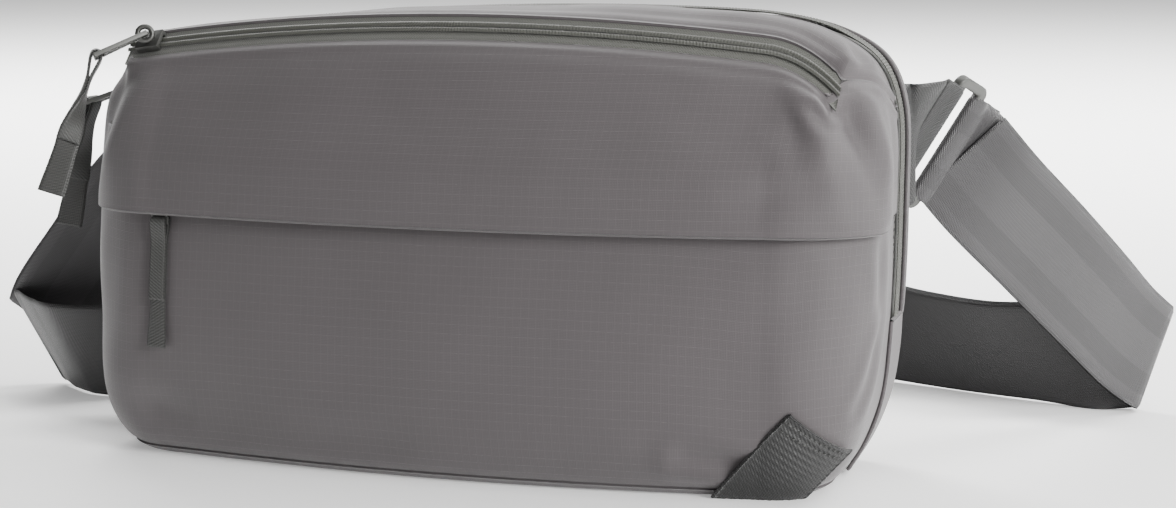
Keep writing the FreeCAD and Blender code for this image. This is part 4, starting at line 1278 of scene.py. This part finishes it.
def make_padding():
    for node, body, radius, crown in (
            ("base_pad", "bag_body", 3.2, 0.8), ("partition_pad", "bag_body", 3.2, 0.8),
            ("side_pad_left", "bag_body", 3.2, 0.8), ("side_pad_right", "bag_body", 3.2, 0.8),
            ("back_lower_pad", "bag_body", 3.0, 0.8), ("back_pad", "back_panel", 3.0, 0.8),
            ("divider_left", "divider_left", 2.4, 0.6), ("divider_right", "divider_right", 2.4, 0.6)):
        make_pad(node, body, radius, crown)
    for node, mat in (("base_board", "board"), ("pocket_liner", "lining")):
        dress(node, mat)


def dress(node, mat):
    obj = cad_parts[node]
    obj.data.materials.clear()
    obj.data.materials.append(MATERIALS[mat])


# ---- Accessory loop ---------------------------------------------------------------------------
LOOP_W, LOOP_T, LOOP_TOP = 25.0, 1.8, 15.0
LOOP_FOOT_Z = 1.2
LOOP_RIB = 2.4            # pitch of its ribs


def make_accessory_loop():
    """Ribbed webbing sewn over the lower right corner, down to the edge of the base."""
    lean = math.radians(42)
    middle = np.array([SIDE_X - 30.0, 0.0, 17.0])
    along = np.array([math.sin(lean), 0, math.cos(lean)])
    over = np.array([math.cos(lean), 0, -math.sin(lean)])
    rows, cols = 72, 26
    grid, uv = np.zeros((rows, cols, 3)), np.zeros((rows, cols, 2))
    for i, w in enumerate(np.linspace(-LOOP_W / 2, LOOP_W / 2, cols)):
        foot = (LOOP_FOOT_Z - middle[2] - over[2] * w) / along[2]
        for j, s in enumerate(np.linspace(foot, LOOP_TOP, rows)):
            spot = middle + along * s + over * w
            hit = BODY.ray_cast(Vector((spot[0], -200.0, spot[2])), Vector((0, 1, 0)))
            grid[j, i] = hit[0] if hit[0] is not None else grid[j - 1, i]
            uv[j, i] = w, s
    out = normals_of(grid)
    ridge = 0.30 * np.cos(2 * math.pi * uv[..., 1] / LOOP_RIB) * (1 - smooth(11.0, 12.5, np.abs(uv[..., 0])))
    grid = grid + out * (LOOP_T + 0.9 + ridge)[..., None]
    finish_piece(sheet_mesh("accessory_loop_cover", grid, LOOP_T, uv), "dark_webbing", "bag_body",
                 stands_for=["accessory_loop"])
    for n, s in enumerate((LOOP_TOP - 2.0, LOOP_TOP - 5.0)):
        near = np.argmin(np.abs(uv[:, cols // 2, 1] - s))
        row = grid[near, 2:-2]
        stitch_row("accessory_loop_stitch_%d" % (n + 1), row, out[near, cols // 2], "bag_body",
                   "tab_webbing", 2.2, (1.6, 0.6))


# ---- Stage ------------------------------------------------------------------------------------
LENS_MM = 68.2
AZIMUTH = math.radians(17.0)
PITCH = math.radians(8.49)
EYE = (0.307, -0.858, 0.222)


def make_camera():
    data = bpy.data.cameras.new("camera")
    data.lens = LENS_MM
    data.sensor_width = 36.0
    data.clip_start = 0.05
    camera = bpy.data.objects.new("camera", data)
    camera.location = EYE
    camera.rotation_euler = (math.pi / 2 - PITCH, 0, AZIMUTH)
    bpy.context.scene.collection.objects.link(camera)
    bpy.context.scene.camera = camera


def area_light(name, place, target, size, power, warmth=1.0):
    data = bpy.data.lights.new(name, "AREA")
    data.shape = "RECTANGLE"
    data.size, data.size_y = size
    data.energy = power
    data.color = (1.0, warmth, warmth * 0.99)
    light = bpy.data.objects.new(name, data)
    light.location = place
    light.rotation_euler = (Vector(target) - Vector(place)).to_track_quat("-Z", "Y").to_euler()
    bpy.context.scene.collection.objects.link(light)


def make_stage():
    bpy.ops.mesh.primitive_plane_add(size=12.0, location=(0, 0, 0))
    floor = bpy.context.object
    floor.name = "studio_floor"
    floor.data.materials.append(MATERIALS["studio_floor"])
    world = bpy.data.worlds.new("studio")
    world.use_nodes = True
    nodes, links = world.node_tree.nodes, world.node_tree.links
    direction = nodes.new("ShaderNodeSeparateXYZ")
    links.new(nodes.new("ShaderNodeTexCoord").outputs["Generated"], direction.inputs[0])
    strength = nodes.new("ShaderNodeMath")
    strength.operation = "MULTIPLY_ADD"
    strength.use_clamp = True
    strength.inputs[1].default_value = WORLD_SIDE
    strength.inputs[2].default_value = WORLD_STRENGTH
    links.new(direction.outputs[0], strength.inputs[0])
    nodes["Background"].inputs[0].default_value = (1.0, 1.0, 1.0, 1.0)
    links.new(strength.outputs[0], nodes["Background"].inputs[1])
    bpy.context.scene.world = world
    area_light("key", (1.8, -0.85, 0.8), (0.05, 0, 0.08), (0.8, 0.8), 70.0)
    area_light("top", (0.2, 0.1, 1.8), (0, 0, 0.1), (1.4, 1.0), 16.0)
    for name, x in (("backdrop_left", -1.1), ("backdrop_right", 1.3)):
        area_light(name, (x, 1.4, 1.6), (x * 0.6, 2.6, 0), (1.6, 1.2), 170.0)


make_materials()
make_camera()
make_stage()
make_upper_shell()
make_crown()
make_lower_front()
make_back()
make_base()
make_main_zip()
make_top_zip()
make_pocket_zip()
make_stitches()
make_strap()
make_wings()
make_tabs()
make_hardware()
make_padding()
make_accessory_loop()
